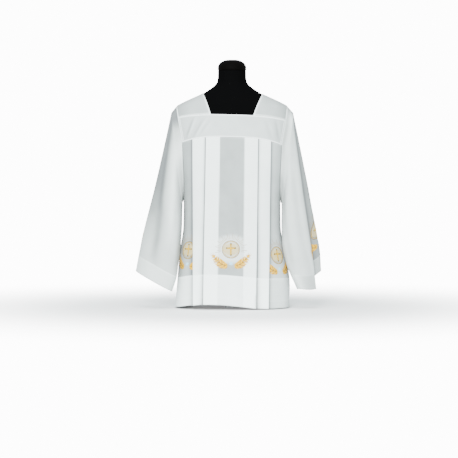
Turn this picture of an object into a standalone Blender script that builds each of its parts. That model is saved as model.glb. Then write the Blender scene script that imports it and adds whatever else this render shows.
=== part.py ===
"""A surplice on a dress form.

The vestment is a wide white tunic with a square neck: two shoulder pieces, a band across the chest and
one across the back, a pleated skirt below each band, and two wide sleeves set into deep armholes. It
hangs on a black limbless dress form, which stands on its own flat base.

Units are metres. X runs to the wearer's left, Y to the back and Z up. The origin is the middle of the
dress form's base. Each piece of cloth is an open surface, worked out in rows and columns, that Solidify
makes a wall. A place on the body is given by a turn and a height: turn 0 is the wearer's left side, a
quarter turn the middle of the front, a half turn the right side and three quarters the middle of the back.
"""

import bpy
import numpy as np

# ---- driving dimensions -------------------------------------------------------------------------------

WALL = 0.0010                # thickness of the cloth
SEAM_GAP = 0.0003            # between two pieces that are sewn to each other
REST_GAP = 0.0008            # between the cloth and the dress form that carries it

NECK_WIDE_X = 0.1180         # half the neck opening on top of the shoulder
NECK_NARROW_X = 0.0840       # half the neck opening at the bands
NECK_SHIFT = 0.0030          # the neck opening lies this far to the wearer's left on top
ARM_TOP_X = 0.2210           # end of the shoulder piece on top of the shoulder
ARM_BAND_X = 0.2150          # end of the shoulder piece at the bands
BAND_TOP = 0.7695            # height of the bands' upper seam at the middle
BAND_TOP_DROP = 0.0150       # how much lower that seam lies at the armholes
BAND_FOOT = 0.6805           # height of the bands' lower seam at the middle
BAND_FOOT_DROP = 0.0260
BAND_FOOT_X = 0.1960         # half width of a band at its lower seam
UNDERARM = 0.4200            # height of the foot of the armhole
HEM_X = 0.2260               # half width of the skirt at its hem
SLANT = -0.0270              # the cloth hangs lower on the wearer's left, by this share of X

PLEAT_STEP_BAND = 0.0015     # from one layer of a pleat to the next, sewn flat at the band
PLEAT_STEP_HEM = 0.0034      # and where the pleats spring open at the hem

FORM_COLUMNS = ("height", "half_width", "front", "back", "squareness")
FORM_ROWS = (
    (0.0000, 0.0900, 0.0510, 0.0570, 2.10),
    (0.0120, 0.1280, 0.0780, 0.0840, 2.20),
    (0.0350, 0.1580, 0.1030, 0.1090, 2.30),
    (0.0700, 0.1735, 0.1155, 0.1220, 2.35),
    (0.1700, 0.1750, 0.1160, 0.1220, 2.35),
    (0.2700, 0.1650, 0.1090, 0.1100, 2.35),
    (0.3600, 0.1545, 0.1030, 0.0990, 2.35),
    (0.4500, 0.1535, 0.1070, 0.1000, 2.35),
    (0.5500, 0.1660, 0.1160, 0.1120, 2.40),
    (0.6300, 0.1820, 0.1150, 0.1180, 2.50),
    (0.6900, 0.2020, 0.1080, 0.1170, 2.60),
    (0.7400, 0.2240, 0.0970, 0.1110, 2.70),
    (0.7750, 0.2290, 0.0880, 0.1040, 2.70),
    (0.7920, 0.2265, 0.0835, 0.0995, 2.70),
    (0.8040, 0.2190, 0.0805, 0.0965, 2.65),
    (0.8140, 0.2030, 0.0780, 0.0935, 2.60),
    (0.8260, 0.1790, 0.0750, 0.0900, 2.50),
    (0.8400, 0.1480, 0.0715, 0.0850, 2.35),
    (0.8540, 0.1175, 0.0680, 0.0790, 2.20),
    (0.8660, 0.0985, 0.0645, 0.0735, 2.10),
    (0.8780, 0.0810, 0.0615, 0.0680, 2.00),
    (0.8900, 0.0670, 0.0590, 0.0625, 2.00),
    (0.9020, 0.0595, 0.0570, 0.0585, 2.00),
    (0.9200, 0.0565, 0.0560, 0.0565, 2.00),
    (0.9470, 0.0560, 0.0560, 0.0560, 2.00),
)

CLOTH_ROWS = (
    (0.0000, 0.2260, 0.1580, 0.1520, 2.50),
    (0.1100, 0.2175, 0.1530, 0.1480, 2.50),
    (0.2300, 0.2060, 0.1480, 0.1440, 2.50),
    (0.3300, 0.1930, 0.1440, 0.1410, 2.50),
    (0.4200, 0.1900, 0.1400, 0.1380, 2.50),
    (0.5100, 0.2000, 0.1360, 0.1350, 2.55),
    (0.5900, 0.2110, 0.1310, 0.1320, 2.60),
    (0.6500, 0.2180, 0.1240, 0.1280, 2.60),
    (0.6900, 0.2210, 0.1150, 0.1230, 2.60),
    (0.7500, 0.2280, 0.0980, 0.1130, 2.70),
    (0.7700, 0.2290, 0.0900, 0.1060, 2.70),
)
REST_FROM = 0.7000           # the cloth leaves the dress form between these two heights
REST_FULL = 0.7520
LEFT_WIDER = 0.0550          # the skirts hang wider on the left, most of it at this height and within this reach
LEFT_WIDEST = 0.1200
LEFT_WIDER_REACH = 0.0880

HEM_COLUMNS = ("x", "front", "back")
HEM_ROWS = (                 # height of the hem from the right side seam to the left one
    (-HEM_X, 0.0040, 0.0040),
    (-0.2000, 0.0070, 0.0060),
    (-0.1600, 0.0150, 0.0080),
    (-0.1070, 0.0210, 0.0110),
    (-0.0500, 0.0200, 0.0115),
    (0.0000, 0.0165, 0.0120),
    (0.0450, 0.0115, 0.0115),
    (0.0920, 0.0060, 0.0110),
    (0.1500, 0.0035, 0.0080),
    (0.2000, 0.0035, 0.0060),
    (HEM_X, 0.0110, 0.0110),
)

ARMHOLE_COLUMNS = ("up", "turn_share")
ARMHOLE_ROWS = (             # from underarm to band: how far the edge has turned from the side to the band's end
    (0.00, 0.00),
    (0.17, 0.44),
    (0.38, 0.70),
    (0.71, 0.90),
    (1.00, 1.00),
)

PLEAT_COLUMNS = ("layer", "right_band", "right_hem", "left_band", "left_hem")
PLEAT_ROWS = (               # the folds from the side to the middle: layer under the fold, and X on each side
    (0, -0.1045, -0.1120, 0.1045, 0.0955),
    (1, -0.1560, -0.1530, 0.1535, 0.1415),
    (2, -0.0470, -0.0580, 0.0495, 0.0435),
    (3, -0.1020, -0.1100, 0.1020, 0.0920),
)
TOP_LAYER = 4
FOLD_ANGLES = (-90, -35, 35, 90)

SLEEVE_COLUMNS = ("share", "outer_x", "outer_z", "inner_x", "inner_z", "outer_y", "inner_y", "depth")
RIGHT_SLEEVE_ROWS = (
    (0.07, 0.2420, 0.7780, 0.2005, 0.3980, 0.000, -0.010, 0.0770),
    (0.25, 0.2690, 0.6540, 0.2020, 0.3350, 0.000, -0.030, 0.0820),
    (0.50, 0.3090, 0.4800, 0.2040, 0.2550, 0.000, -0.050, 0.0800),
    (0.75, 0.3520, 0.3100, 0.2130, 0.1750, 0.000, -0.065, 0.0720),
    (0.90, 0.3740, 0.2050, 0.2200, 0.1250, 0.000, -0.075, 0.0660),
    (1.00, 0.3850, 0.1460, 0.2380, 0.0690, 0.000, -0.075, 0.0640),
)
LEFT_SLEEVE_ROWS = (
    (0.07, 0.2440, 0.7780, 0.1985, 0.3980, 0.000, -0.016, 0.0770),
    (0.25, 0.2700, 0.6540, 0.1975, 0.3350, 0.006, -0.042, 0.0820),
    (0.50, 0.3050, 0.4800, 0.1980, 0.2600, 0.012, -0.064, 0.0800),
    (0.75, 0.3390, 0.3020, 0.2150, 0.1800, 0.016, -0.070, 0.0740),
    (0.90, 0.3540, 0.2150, 0.2320, 0.1360, 0.018, -0.070, 0.0700),
    (1.00, 0.3575, 0.1470, 0.2590, 0.0770, 0.018, -0.062, 0.0680),
)
# Long folds. Columns: share of the sleeve where one starts and ends, degrees round the sleeve there,
# metres in there, and degrees wide.
RIGHT_TROUGHS = (
    (0.02, 0.60, 32.0, 44.0, 0.0090, 0.0070, 17.0),
    (0.45, 1.00, 66.0, 82.0, 0.0060, 0.0050, 17.0),
    (0.20, 1.00, 236.0, 232.0, 0.0080, 0.0110, 20.0),
    (0.05, 0.85, 300.0, 306.0, 0.0070, 0.0070, 17.0),
)
LEFT_TROUGHS = (
    (0.02, 1.10, 24.0, 37.0, 0.0100, 0.0260, 13.0),
    (0.30, 1.00, 118.0, 108.0, 0.0050, 0.0040, 18.0),
    (0.20, 1.00, 228.0, 236.0, 0.0080, 0.0110, 20.0),
    (0.05, 0.85, 300.0, 296.0, 0.0070, 0.0070, 17.0),
)
LEFT_CUFF_DROP = 0.0550      # the front of the left cuff hangs lower than its back
CUFF_DROP_TURNS = (36.0, 49.0, 42.0, 165.0)   # degrees round it where the drop starts, is full, ends

SHOULDER_WIDEST = 0.7760     # above this height the dress form narrows all the way to the neck

SHOULDER_ALONG = np.linspace(-1, 1, 21)                        # rows of a shoulder piece, front to back
SHOULDER_ACROSS = np.sin(np.linspace(0, np.pi / 2, 10))        # its columns, closer at the armhole
BAND_ACROSS = np.sin(np.linspace(-np.pi / 2, np.pi / 2, 25))   # columns of a band, closer at its ends
BAND_UP = np.linspace(0, 1, 5)                                 # rows of a band
SKIRT_ROWS_TO_UNDERARM = 5
SKIRT_ROWS_TO_HEM = 6

CAP_FOOT_RADIUS = 0.0572
CAP_RIM_HEIGHT = 0.0090
CAP_HEIGHT = 0.0420
CAP_DOME_DEGREES = 74.0      # how far the dome's quarter oval runs before its small flat top
CAP_DOME_POWER = 0.8
CAP_FOOT_INSET = 0.0010

SLEEVE_SHARES = (0.0, 0.012, 0.03, 0.07, 0.14, 0.22, 0.32, 0.43, 0.54, 0.65, 0.76, 0.86, 0.94, 1.0)
HEAD_REACH = 0.0300          # how far a sleeve's head follows the way it leaves the armhole
NEXT_TO_EDGE = 0.9700        # the share across at which that way is measured
UNDERARM_GAP = 0.75 * WALL   # added to the seam gap where the sleeve stands square to the skirt

MATERIALS = {                # colour, roughness
    "white_cloth": ((0.86, 0.88, 0.88), 0.75),
    "white_sleeve_cloth": ((0.84, 0.86, 0.86), 0.75),
    "black_jersey": ((0.012, 0.012, 0.013), 0.80),
    "black_cap": ((0.020, 0.018, 0.014), 0.45),
}


# ---- tables and smooth curves -------------------------------------------------------------------------

def table(columns, rows):
    """The rows as one array for each named column."""
    return dict(zip(columns, np.array(rows, float).T))


def read(rows, column, at):
    """A column read between the rows on a smooth curve that never overshoots them."""
    places, values = rows[next(iter(rows))], rows[column]
    steps = np.diff(places)
    slopes = np.diff(values) / steps
    tangents = np.concatenate([slopes[:1], np.zeros(len(slopes) - 1), slopes[-1:]])
    before, after = slopes[:-1], slopes[1:]
    same_way = before * after > 0
    tangents[1:-1][same_way] = 2 / (1 / before[same_way] + 1 / after[same_way])
    at = np.clip(at, places[0], places[-1])
    row = np.clip(np.searchsorted(places, at) - 1, 0, len(steps) - 1)
    step = steps[row]
    t = (at - places[row]) / step
    return (
        (1 + 2 * t) * (1 - t) ** 2 * values[row] + t * (1 - t) ** 2 * step * tangents[row]
        + t * t * (3 - 2 * t) * values[row + 1] - t * t * (1 - t) * step * tangents[row + 1]
    )


def smoothstep(start, end, at):
    share = np.clip((at - start) / (end - start), 0, 1)
    return share * share * (3 - 2 * share)


def unit(vectors):
    return vectors / np.linalg.norm(vectors, axis=-1, keepdims=True)


FORM = table(FORM_COLUMNS, FORM_ROWS)
CLOTH = table(FORM_COLUMNS, CLOTH_ROWS)
ARMHOLE = table(ARMHOLE_COLUMNS, ARMHOLE_ROWS)
PLEATS = table(PLEAT_COLUMNS, PLEAT_ROWS)
HEM = table(HEM_COLUMNS, HEM_ROWS)


# ---- the level sections of the dress form and of the cloth ----------------------------------------------

def form_size(column, height):
    return read(FORM, column, height)


def cloth_size(column, height):
    """The cloth follows the dress form on the shoulders and hangs clear of it below the chest."""
    resting = smoothstep(REST_FROM, REST_FULL, height)
    return resting * read(FORM, column, height) + (1 - resting) * read(CLOTH, column, height)


def section_point(size, turn, height):
    """A point of the rounded oblong that a level cut makes."""
    turn, height = np.broadcast_arrays(turn, height)
    power = 2 / size("squareness", height)
    across, through = np.cos(turn), np.sin(turn)
    depth = np.where(through > 0, size("front", height), size("back", height))
    x = size("half_width", height) * np.sign(across) * np.abs(across) ** power
    y = -depth * np.sign(through) * np.abs(through) ** power
    return np.stack([x, y, height], -1)


def left_wider(x, height):
    """How much wider than the right side the cloth hangs on the left: most of it just above the hem."""
    return 1 + LEFT_WIDER * np.exp(-((height - LEFT_WIDEST) / LEFT_WIDER_REACH) ** 2) * (np.asarray(x) > 0)


def cloth_section(turn, height):
    """The cloth's section point, with X stretched on the left side."""
    point = section_point(cloth_size, turn, height)
    return point * np.stack([left_wider(point[..., 0], point[..., 2]), np.ones_like(point[..., 0]),
                             np.ones_like(point[..., 0])], -1)


def turn_at(x, height, back):
    """The turn at which the cloth's level section reaches this X."""
    share = np.clip(np.abs(x) / (cloth_size("half_width", height) * left_wider(x, height)), 0, 1)
    from_side = np.arccos(share ** (cloth_size("squareness", height) / 2))
    turn = np.where(x < 0, np.pi - from_side, from_side)
    return -turn if back else turn


def cloth_point(turn, height, out=0.0):
    """A point of the cloth's mid surface: square to the dress form by its gap, then level by the layer's."""
    step = 1e-3
    round_it = cloth_section(turn + step, height) - cloth_section(turn - step, height)
    up_it = cloth_section(turn, height + step) - cloth_section(turn, height - step)
    normal = unit(np.cross(up_it, round_it))
    level = unit(normal * (1, 1, 0))
    layer = np.expand_dims(np.broadcast_to(out, normal.shape[:-1]), -1)
    return cloth_section(turn, height) + normal * (REST_GAP + WALL / 2) + level * layer


def ridge_height(x):
    """The height of the shoulder's ridge at this X."""
    heights = np.linspace(SHOULDER_WIDEST, FORM["height"][-1], 400)
    widths = form_size("half_width", heights)
    return np.interp(-np.abs(x), -widths, heights)


# ---- seams --------------------------------------------------------------------------------------------

def band_top(x):
    return BAND_TOP - BAND_TOP_DROP * np.abs(x / ARM_BAND_X) ** 3 + SLANT * x


def band_foot(x):
    return BAND_FOOT - BAND_FOOT_DROP * np.abs(x / BAND_FOOT_X) ** 3 + SLANT * x


def shoulder_point(side, across, along):
    """Across runs 0 to 1 from neck to armhole, along -1 to 1 from the front band to the back band."""
    drop = 1 - np.cos(along * np.pi / 2)
    neck_x = NECK_WIDE_X + (NECK_NARROW_X - NECK_WIDE_X) * drop
    arm_x = ARM_TOP_X + (ARM_BAND_X - ARM_TOP_X) * drop
    x = side * (neck_x + (arm_x - neck_x) * across) + NECK_SHIFT * (1 - across) * (1 - drop)
    ridge = ridge_height(x)
    height = ridge - (ridge - band_top(x) - SEAM_GAP / 2) * drop
    turn = np.where(along > 0, turn_at(x, height, True), turn_at(x, height, False))
    return cloth_point(turn, height)


def band_point(back, across, up):
    """Across runs -1 to 1 from the right armhole to the left one, up 0 to 1 from lower to upper seam."""
    x = across * (BAND_FOOT_X + (ARM_BAND_X - BAND_FOOT_X) * up)
    low, high = band_foot(x) + SEAM_GAP / 2, band_top(x) - SEAM_GAP / 2
    height = low + (high - low) * up
    return cloth_point(turn_at(x, height, back), height)


def armhole_turn(height, side):
    """Below the band the armhole's edge closes in to the side seam, which runs on down to the hem."""
    end = side * BAND_FOOT_X
    top = band_foot(end)
    at_band = turn_at(BAND_FOOT_X, top, False)
    up = np.clip((height - UNDERARM) / (top - UNDERARM), 0, 1)
    seam = (SEAM_GAP / 2 / cloth_size("front", height)) ** (cloth_size("squareness", height) / 2)
    from_side = np.maximum(at_band * read(ARMHOLE, "turn_share", up), seam)
    return np.where(side < 0, np.pi - from_side, from_side)


def skirt_columns(back):
    """One row for each column of the cloth: X at band and hem, layer, and share of the side panel, if any."""
    columns = []
    for side, name in ((-1, "right"), (1, "left")):
        half = []
        for share in np.linspace(1, 0, 6)[:-1]:
            half.append((np.nan, np.nan, 0, share))
        folds = list(zip(PLEATS["layer"], PLEATS[name + "_band"], PLEATS[name + "_hem"]))
        for number, (layer, at_band, at_hem) in enumerate(folds):
            if number:
                before = folds[number - 1]
                for share in (0.3, 0.7):
                    half.append((before[1] + (at_band - before[1]) * share,
                                 before[2] + (at_hem - before[2]) * share, layer, 0))
            outward = side * (1 if number % 2 else -1)
            for angle in np.radians(FOLD_ANGLES):
                tuck = outward * (np.cos(angle) - 1)
                lift = layer + 0.5 + 0.5 * np.sin(angle)
                half.append((at_band + tuck * PLEAT_STEP_BAND, at_hem + tuck * PLEAT_STEP_HEM, lift, 0))
        for share in (0.35, 0.70):
            half.append((folds[-1][1] * (1 - share), folds[-1][2] * (1 - share), TOP_LAYER, 0))
        columns += half if side < 0 else half[::-1]
    return np.array(columns).T


def skirt_surface(back, rows):
    """The pleated skirt as an array of points: down the rows and across the columns."""
    at_band, at_hem, layer, panel = skirt_columns(back)
    side = np.where(np.arange(len(layer)) < len(layer) / 2, -1.0, 1.0)
    inner_band = np.where(side < 0, PLEATS["right_band"][0], PLEATS["left_band"][0])
    inner_hem = np.where(side < 0, PLEATS["right_hem"][0], PLEATS["left_hem"][0])
    at_band = np.where(panel > 0, inner_band + (side * BAND_FOOT_X - inner_band) * panel, at_band)
    at_hem = np.where(panel > 0, inner_hem + (side * HEM_X - inner_hem) * panel, at_hem)
    down = np.array(rows)[:, None]
    top = band_foot(at_band) - SEAM_GAP / 2
    height = top + (read(HEM, "back" if back else "front", at_hem) - top) * down
    x = at_band + (at_hem - at_band) * down
    inner = turn_at(inner_band + (inner_hem - inner_band) * down, height, False)
    inner_top, edge_top = turn_at(inner_band, top, False), armhole_turn(top, side)
    share = (turn_at(at_band, top, False) - inner_top) / (edge_top - inner_top)
    in_panel = inner + (armhole_turn(height, side) - inner) * share
    turn = np.where(panel > 0, in_panel, turn_at(x, height, False))
    step = PLEAT_STEP_BAND + (PLEAT_STEP_HEM - PLEAT_STEP_BAND) * smoothstep(0, 1, down)
    out = (layer - TOP_LAYER / 2) * step * np.where(panel > 0, 1 - smoothstep(0, 1, panel), 1)
    return cloth_point(-turn if back else turn, height, out)


def skirt_rows():
    """Shares of the skirt's height, one of them at the foot of the armhole."""
    top, hem = band_foot(BAND_FOOT_X), HEM["front"][-1]
    underarm = (top - UNDERARM) / (top - hem)
    above = np.linspace(0, underarm, SKIRT_ROWS_TO_UNDERARM)
    return np.concatenate([above[:-1], np.linspace(underarm, 1, SKIRT_ROWS_TO_HEM)])


# ---- sleeves ------------------------------------------------------------------------------------------

def armhole_edge(side, back):
    """Half the armhole's edge, from the top of the shoulder to the underarm, and the way the sleeve leaves it.

    At shoulder and band the sleeve carries on where the cloth ends; down the skirt it turns square to it."""
    along = SHOULDER_ALONG[SHOULDER_ALONG >= -1e-9] * (1 if back else -1)
    shoulder = shoulder_point(side, 1.0, along)
    shoulder_way = unit(shoulder - shoulder_point(side, NEXT_TO_EDGE, along))
    up = BAND_UP[::-1][1:]
    band = band_point(back, side * 1.0, up)
    band_way = unit(band - band_point(back, side * NEXT_TO_EDGE, up))
    skirt = skirt_surface(back, skirt_rows())[1:SKIRT_ROWS_TO_UNDERARM]
    edge, next_to_it = (0, 1) if side < 0 else (-1, -2)
    skirt_edge = skirt[:, edge]
    onward = unit(skirt_edge - skirt[:, next_to_it])
    down = unit(np.gradient(skirt_edge, axis=0))
    outward = unit(np.cross(onward, down))
    outward *= side * np.sign(outward[:, :1])
    square = np.linspace(0.5, 1, len(skirt_edge))[:, None]
    skirt_way = unit(onward * (1 - square) + outward * square)
    points = np.concatenate([shoulder, band, skirt_edge])
    gaps = np.concatenate([np.full(len(shoulder) + len(band), SEAM_GAP), SEAM_GAP + UNDERARM_GAP * square[:, 0]])
    return points, np.concatenate([shoulder_way, band_way, skirt_way]), gaps[:, None]


def armhole_ring(side):
    """The sleeve's first ring, a seam's gap from the armhole: down its front edge and up its back edge."""
    front, front_way, front_gap = armhole_edge(side, False)
    back, back_way, back_gap = armhole_edge(side, True)
    underarm = len(front) - 1
    points = np.concatenate([front, back[-2:0:-1]])
    ways = np.concatenate([front_way, back_way[-2:0:-1]])
    ways[underarm] = (side, 0, 0)
    gaps = np.concatenate([front_gap, back_gap[-2:0:-1]])
    return points + ways * gaps, ways, underarm


def turns_round(points, underarm):
    """Degrees round the sleeve: 0 at the shoulder, 180 at the underarm, by length along the armhole."""
    around = np.linalg.norm(np.diff(np.concatenate([points, points[:1]]), axis=0), axis=1)
    so_far = np.concatenate([[0], np.cumsum(around)])
    half, whole = so_far[underarm], so_far[-1]
    so_far = so_far[:-1]
    return np.where(so_far <= half, 180 * so_far / half, 180 + 180 * (so_far - half) / (whole - half))


def ring_point(side, rings, share, turn):
    """A point of the sleeve: an oval between its outer and inner edge, turned a little and deepened."""
    outer = np.stack([side * read(rings, "outer_x", share), read(rings, "outer_y", share),
                      read(rings, "outer_z", share)], -1)
    inner = np.stack([side * read(rings, "inner_x", share), read(rings, "inner_y", share),
                      read(rings, "inner_z", share)], -1)
    angle = np.radians(turn)
    middle, half = (outer + inner) / 2, (outer - inner) / 2
    point = middle + half * np.cos(angle)[..., None]
    point[..., 1] -= read(rings, "depth", share) * np.sin(angle)
    return point, middle


def with_troughs(point, middle, troughs, share, turn):
    """Long folds: the cloth drawn in towards the middle of the sleeve along a line."""
    for start, end, turn_start, turn_end, depth_start, depth_end, width in troughs:
        run = np.clip((share - start) / (end - start), 0, 1)
        line = turn_start + (turn_end - turn_start) * run
        fade = smoothstep(start, start + 0.12, share) * (1 - smoothstep(end - 0.12, end, share))
        depth = (depth_start + (depth_end - depth_start) * run) * fade
        away = (turn - line + 180) % 360 - 180
        depth = depth * np.exp(-((away / width) ** 2))
        point = point - unit(point - middle) * depth[..., None]
    return point


def sleeve_surface(side, rows, troughs, shares, drop):
    """The sleeve in rings: it leaves the armhole square to its edge, then follows the table's rings."""
    edge, way, underarm = armhole_ring(side)
    rings = table(SLEEVE_COLUMNS, rows)
    turn = turns_round(edge, underarm)[None, :]
    share = np.maximum(np.array(shares), rings["share"][0])[:, None]
    share, turn = np.broadcast_arrays(share, turn)
    point, middle = ring_point(side, rings, share, turn)
    point = with_troughs(point, middle, troughs, share, turn)
    start, full, easing, end = CUFF_DROP_TURNS
    window = smoothstep(start, full, turn) * (1 - smoothstep(easing, end, turn))
    point[..., 2] -= drop * smoothstep(0.3, 1.0, share) * window
    first = rings["share"][0]
    leave = np.clip(np.array(shares) / first, 0, 1)[:, None, None]
    head = edge + way * HEAD_REACH * leave * (1 - leave) ** 2
    joined = smoothstep(0, 1, leave)
    return head * (1 - joined) + point * joined


# ---- Blender objects ----------------------------------------------------------------------------------

def clear_scene():
    for thing in list(bpy.data.objects):
        bpy.data.objects.remove(thing, do_unlink=True)


def material(name):
    colour, roughness = MATERIALS[name]
    made = bpy.data.materials.new(name)
    made.use_nodes = True
    shader = made.node_tree.nodes["Principled BSDF"]
    shader.inputs["Base Color"].default_value = (*colour, 1)
    shader.inputs["Roughness"].default_value = roughness
    shader.inputs["Metallic"].default_value = 0
    made.diffuse_color = (*colour, 1)
    return made


def grid_faces(rows, columns, closed):
    """Quads between neighbouring rows and columns, joined round if the columns close on themselves."""
    last = columns if closed else columns - 1
    row, column = np.meshgrid(np.arange(rows - 1), np.arange(last), indexing="ij")
    here, beside = row * columns + column, row * columns + (column + 1) % columns
    return np.stack([here, beside, beside + columns, here + columns], -1).reshape(-1, 4)


def new_object(name, points, faces, made_of, collection):
    mesh = bpy.data.meshes.new(name)
    mesh.from_pydata(points.reshape(-1, 3).tolist(), [], faces)
    mesh.materials.append(made_of)
    mesh.shade_smooth()
    mesh.validate()
    thing = bpy.data.objects.new(name, mesh)
    collection.objects.link(thing)
    return thing


def cloth_piece(name, surface, made_of, collection, closed=False):
    """An open surface of rows and columns, made a wall by Solidify, centred on the surface."""
    rows, columns = surface.shape[:2]
    thing = new_object(name, surface, grid_faces(rows, columns, closed).tolist(), made_of, collection)
    wall = thing.modifiers.new("wall", "SOLIDIFY")
    wall.thickness = WALL
    wall.offset = 0
    return thing


def turned_solid(name, rings, made_of, collection):
    """A closed solid through level rings, with flat ends."""
    rows, columns = rings.shape[:2]
    foot = list(range(columns))[::-1]
    head = [(rows - 1) * columns + column for column in range(columns)]
    faces = grid_faces(rows, columns, True).tolist() + [foot, head]
    return new_object(name, rings, faces, made_of, collection)


# ---- the pieces ---------------------------------------------------------------------------------------

def make_form(made_of, collection):
    """The torso and neck, closed at the base and at the top of the neck."""
    heights = np.concatenate([FORM["height"][:3], np.linspace(0.06, 0.75, 18), np.linspace(0.765, 0.895, 21),
                              FORM["height"][-3:]])[:, None]
    turns = np.linspace(0, 2 * np.pi, 48, endpoint=False)[None, :]
    return turned_solid("dress_form", section_point(form_size, turns, heights)[:, ::-1], made_of, collection)


def make_form_cap(made_of, collection):
    """The domed cap on the neck: a short rim, then a quarter oval up to a small flat."""
    foot = FORM["height"][-1] + SEAM_GAP
    rise = np.radians(np.linspace(0, CAP_DOME_DEGREES, 8))
    dome_radius = CAP_FOOT_RADIUS * np.cos(rise) ** CAP_DOME_POWER
    radius = np.concatenate([[CAP_FOOT_RADIUS - CAP_FOOT_INSET], dome_radius])
    dome = CAP_RIM_HEIGHT + (CAP_HEIGHT - CAP_RIM_HEIGHT) * np.sin(rise) / np.sin(rise[-1])
    height = np.concatenate([[foot], foot + dome])
    turns = np.linspace(0, 2 * np.pi, 32, endpoint=False)[None, :]
    rings = np.stack(np.broadcast_arrays(radius[:, None] * np.cos(turns), radius[:, None] * np.sin(turns),
                                         height[:, None]), -1)
    return turned_solid("form_neck_cap", rings, made_of, collection)


def make_shoulder(name, side, made_of, collection):
    across = SHOULDER_ACROSS[::side][None, :]
    return cloth_piece(name, shoulder_point(side, across, SHOULDER_ALONG[:, None]), made_of, collection)


def make_band(name, back, made_of, collection):
    return cloth_piece(name, band_point(back, BAND_ACROSS[None, :], BAND_UP[:, None]), made_of, collection)


def make_sleeve(name, side, rows, troughs, drop, made_of, collection):
    surface = sleeve_surface(side, rows, troughs, SLEEVE_SHARES, drop)
    return cloth_piece(name, surface, made_of, collection, closed=True)


def main():
    clear_scene()
    collection = bpy.data.collections.new("surplice_on_a_dress_form")
    bpy.context.scene.collection.children.link(collection)
    made_of = {name: material(name) for name in MATERIALS}
    cloth, sleeve_cloth = made_of["white_cloth"], made_of["white_sleeve_cloth"]

    make_form(made_of["black_jersey"], collection)
    make_form_cap(made_of["black_cap"], collection)
    for name, side in (("right_shoulder", -1), ("left_shoulder", 1)):
        make_shoulder(name, side, cloth, collection)
    for name, back in (("front_band", False), ("back_band", True)):
        make_band(name, back, cloth, collection)
    for name, back in (("front_skirt", False), ("back_skirt", True)):
        cloth_piece(name, skirt_surface(back, skirt_rows()), cloth, collection)
    make_sleeve("right_sleeve", -1, RIGHT_SLEEVE_ROWS, RIGHT_TROUGHS, 0.0, sleeve_cloth, collection)
    make_sleeve("left_sleeve", 1, LEFT_SLEEVE_ROWS, LEFT_TROUGHS, LEFT_CUFF_DROP, sleeve_cloth, collection)


main()
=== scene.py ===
# %% [markdown]
# # A surplice on a dress form
#
# A surplice is a white church vestment: a wide tunic with a square neck, a band across the chest and one
# across the back, a pleated skirt below each band, and two wide sleeves. This one is thin enough for the
# black dress form below it to show through as grey, so its tone tells how many layers of cloth lie on each
# other; painted shade in its folds and where it turns away is added to that tone. We load the imported
# model, keep its box, and then put a finer piece in the place of each solid.

# %% The imported model
import math

import bpy
import numpy as np
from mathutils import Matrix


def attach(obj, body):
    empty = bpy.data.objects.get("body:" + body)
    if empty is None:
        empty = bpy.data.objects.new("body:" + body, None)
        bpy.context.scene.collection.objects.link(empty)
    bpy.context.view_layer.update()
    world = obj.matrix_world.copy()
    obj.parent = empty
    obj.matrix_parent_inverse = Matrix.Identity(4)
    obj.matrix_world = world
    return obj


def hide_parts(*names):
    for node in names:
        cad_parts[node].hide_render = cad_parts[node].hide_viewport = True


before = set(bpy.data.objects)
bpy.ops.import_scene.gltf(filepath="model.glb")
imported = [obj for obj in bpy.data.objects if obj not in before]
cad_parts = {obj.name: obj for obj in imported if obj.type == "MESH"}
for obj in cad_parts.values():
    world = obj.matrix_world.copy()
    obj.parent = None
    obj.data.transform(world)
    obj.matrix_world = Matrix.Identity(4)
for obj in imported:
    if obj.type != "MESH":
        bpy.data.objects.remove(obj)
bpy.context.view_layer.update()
print("nodes:", sorted(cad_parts))

# %% [markdown]
# ## The level sections
#
# The form and the cloth are both described by level cuts: rounded oblongs with a half width, a depth to the
# front, a depth to the back and a squareness, given at a few heights. A smooth curve that never overshoots
# joins the rows. These are the model's own sizes, so the looks lie where the solids are. Only near the
# underarm are the skirts and the sleeves' inner edges up to 3 mm closer together than the solids.

# %% Sizes and curves
WALL = 0.0010                # the solid's cloth
CLOTH = 0.0005               # the cloth as it is seen
SEAM_GAP = 0.0003
REST_GAP = 0.0008
NECK_WIDE_X = 0.1180
NECK_NARROW_X = 0.0840
NECK_SHIFT = 0.0030
ARM_TOP_X = 0.2210
ARM_BAND_X = 0.2150
BAND_TOP = 0.7695
BAND_TOP_DROP = 0.0150
BAND_FOOT = 0.6805
BAND_FOOT_DROP = 0.0260
BAND_FOOT_X = 0.1960
UNDERARM = 0.4200
HEM_X = 0.2260
SLANT = -0.0270
PLEAT_STEP_BAND = 0.0015
PLEAT_STEP_HEM = 0.0034
REST_FROM = 0.7000
REST_FULL = 0.7520
LEFT_WIDER = 0.0550          # the skirts hang this share wider on the left
LEFT_WIDEST = 0.1200         # and most of it at this height, within this reach
LEFT_WIDER_REACH = 0.0880
SHOULDER_WIDEST = 0.7760
FORM_TOP = 0.9470

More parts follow.
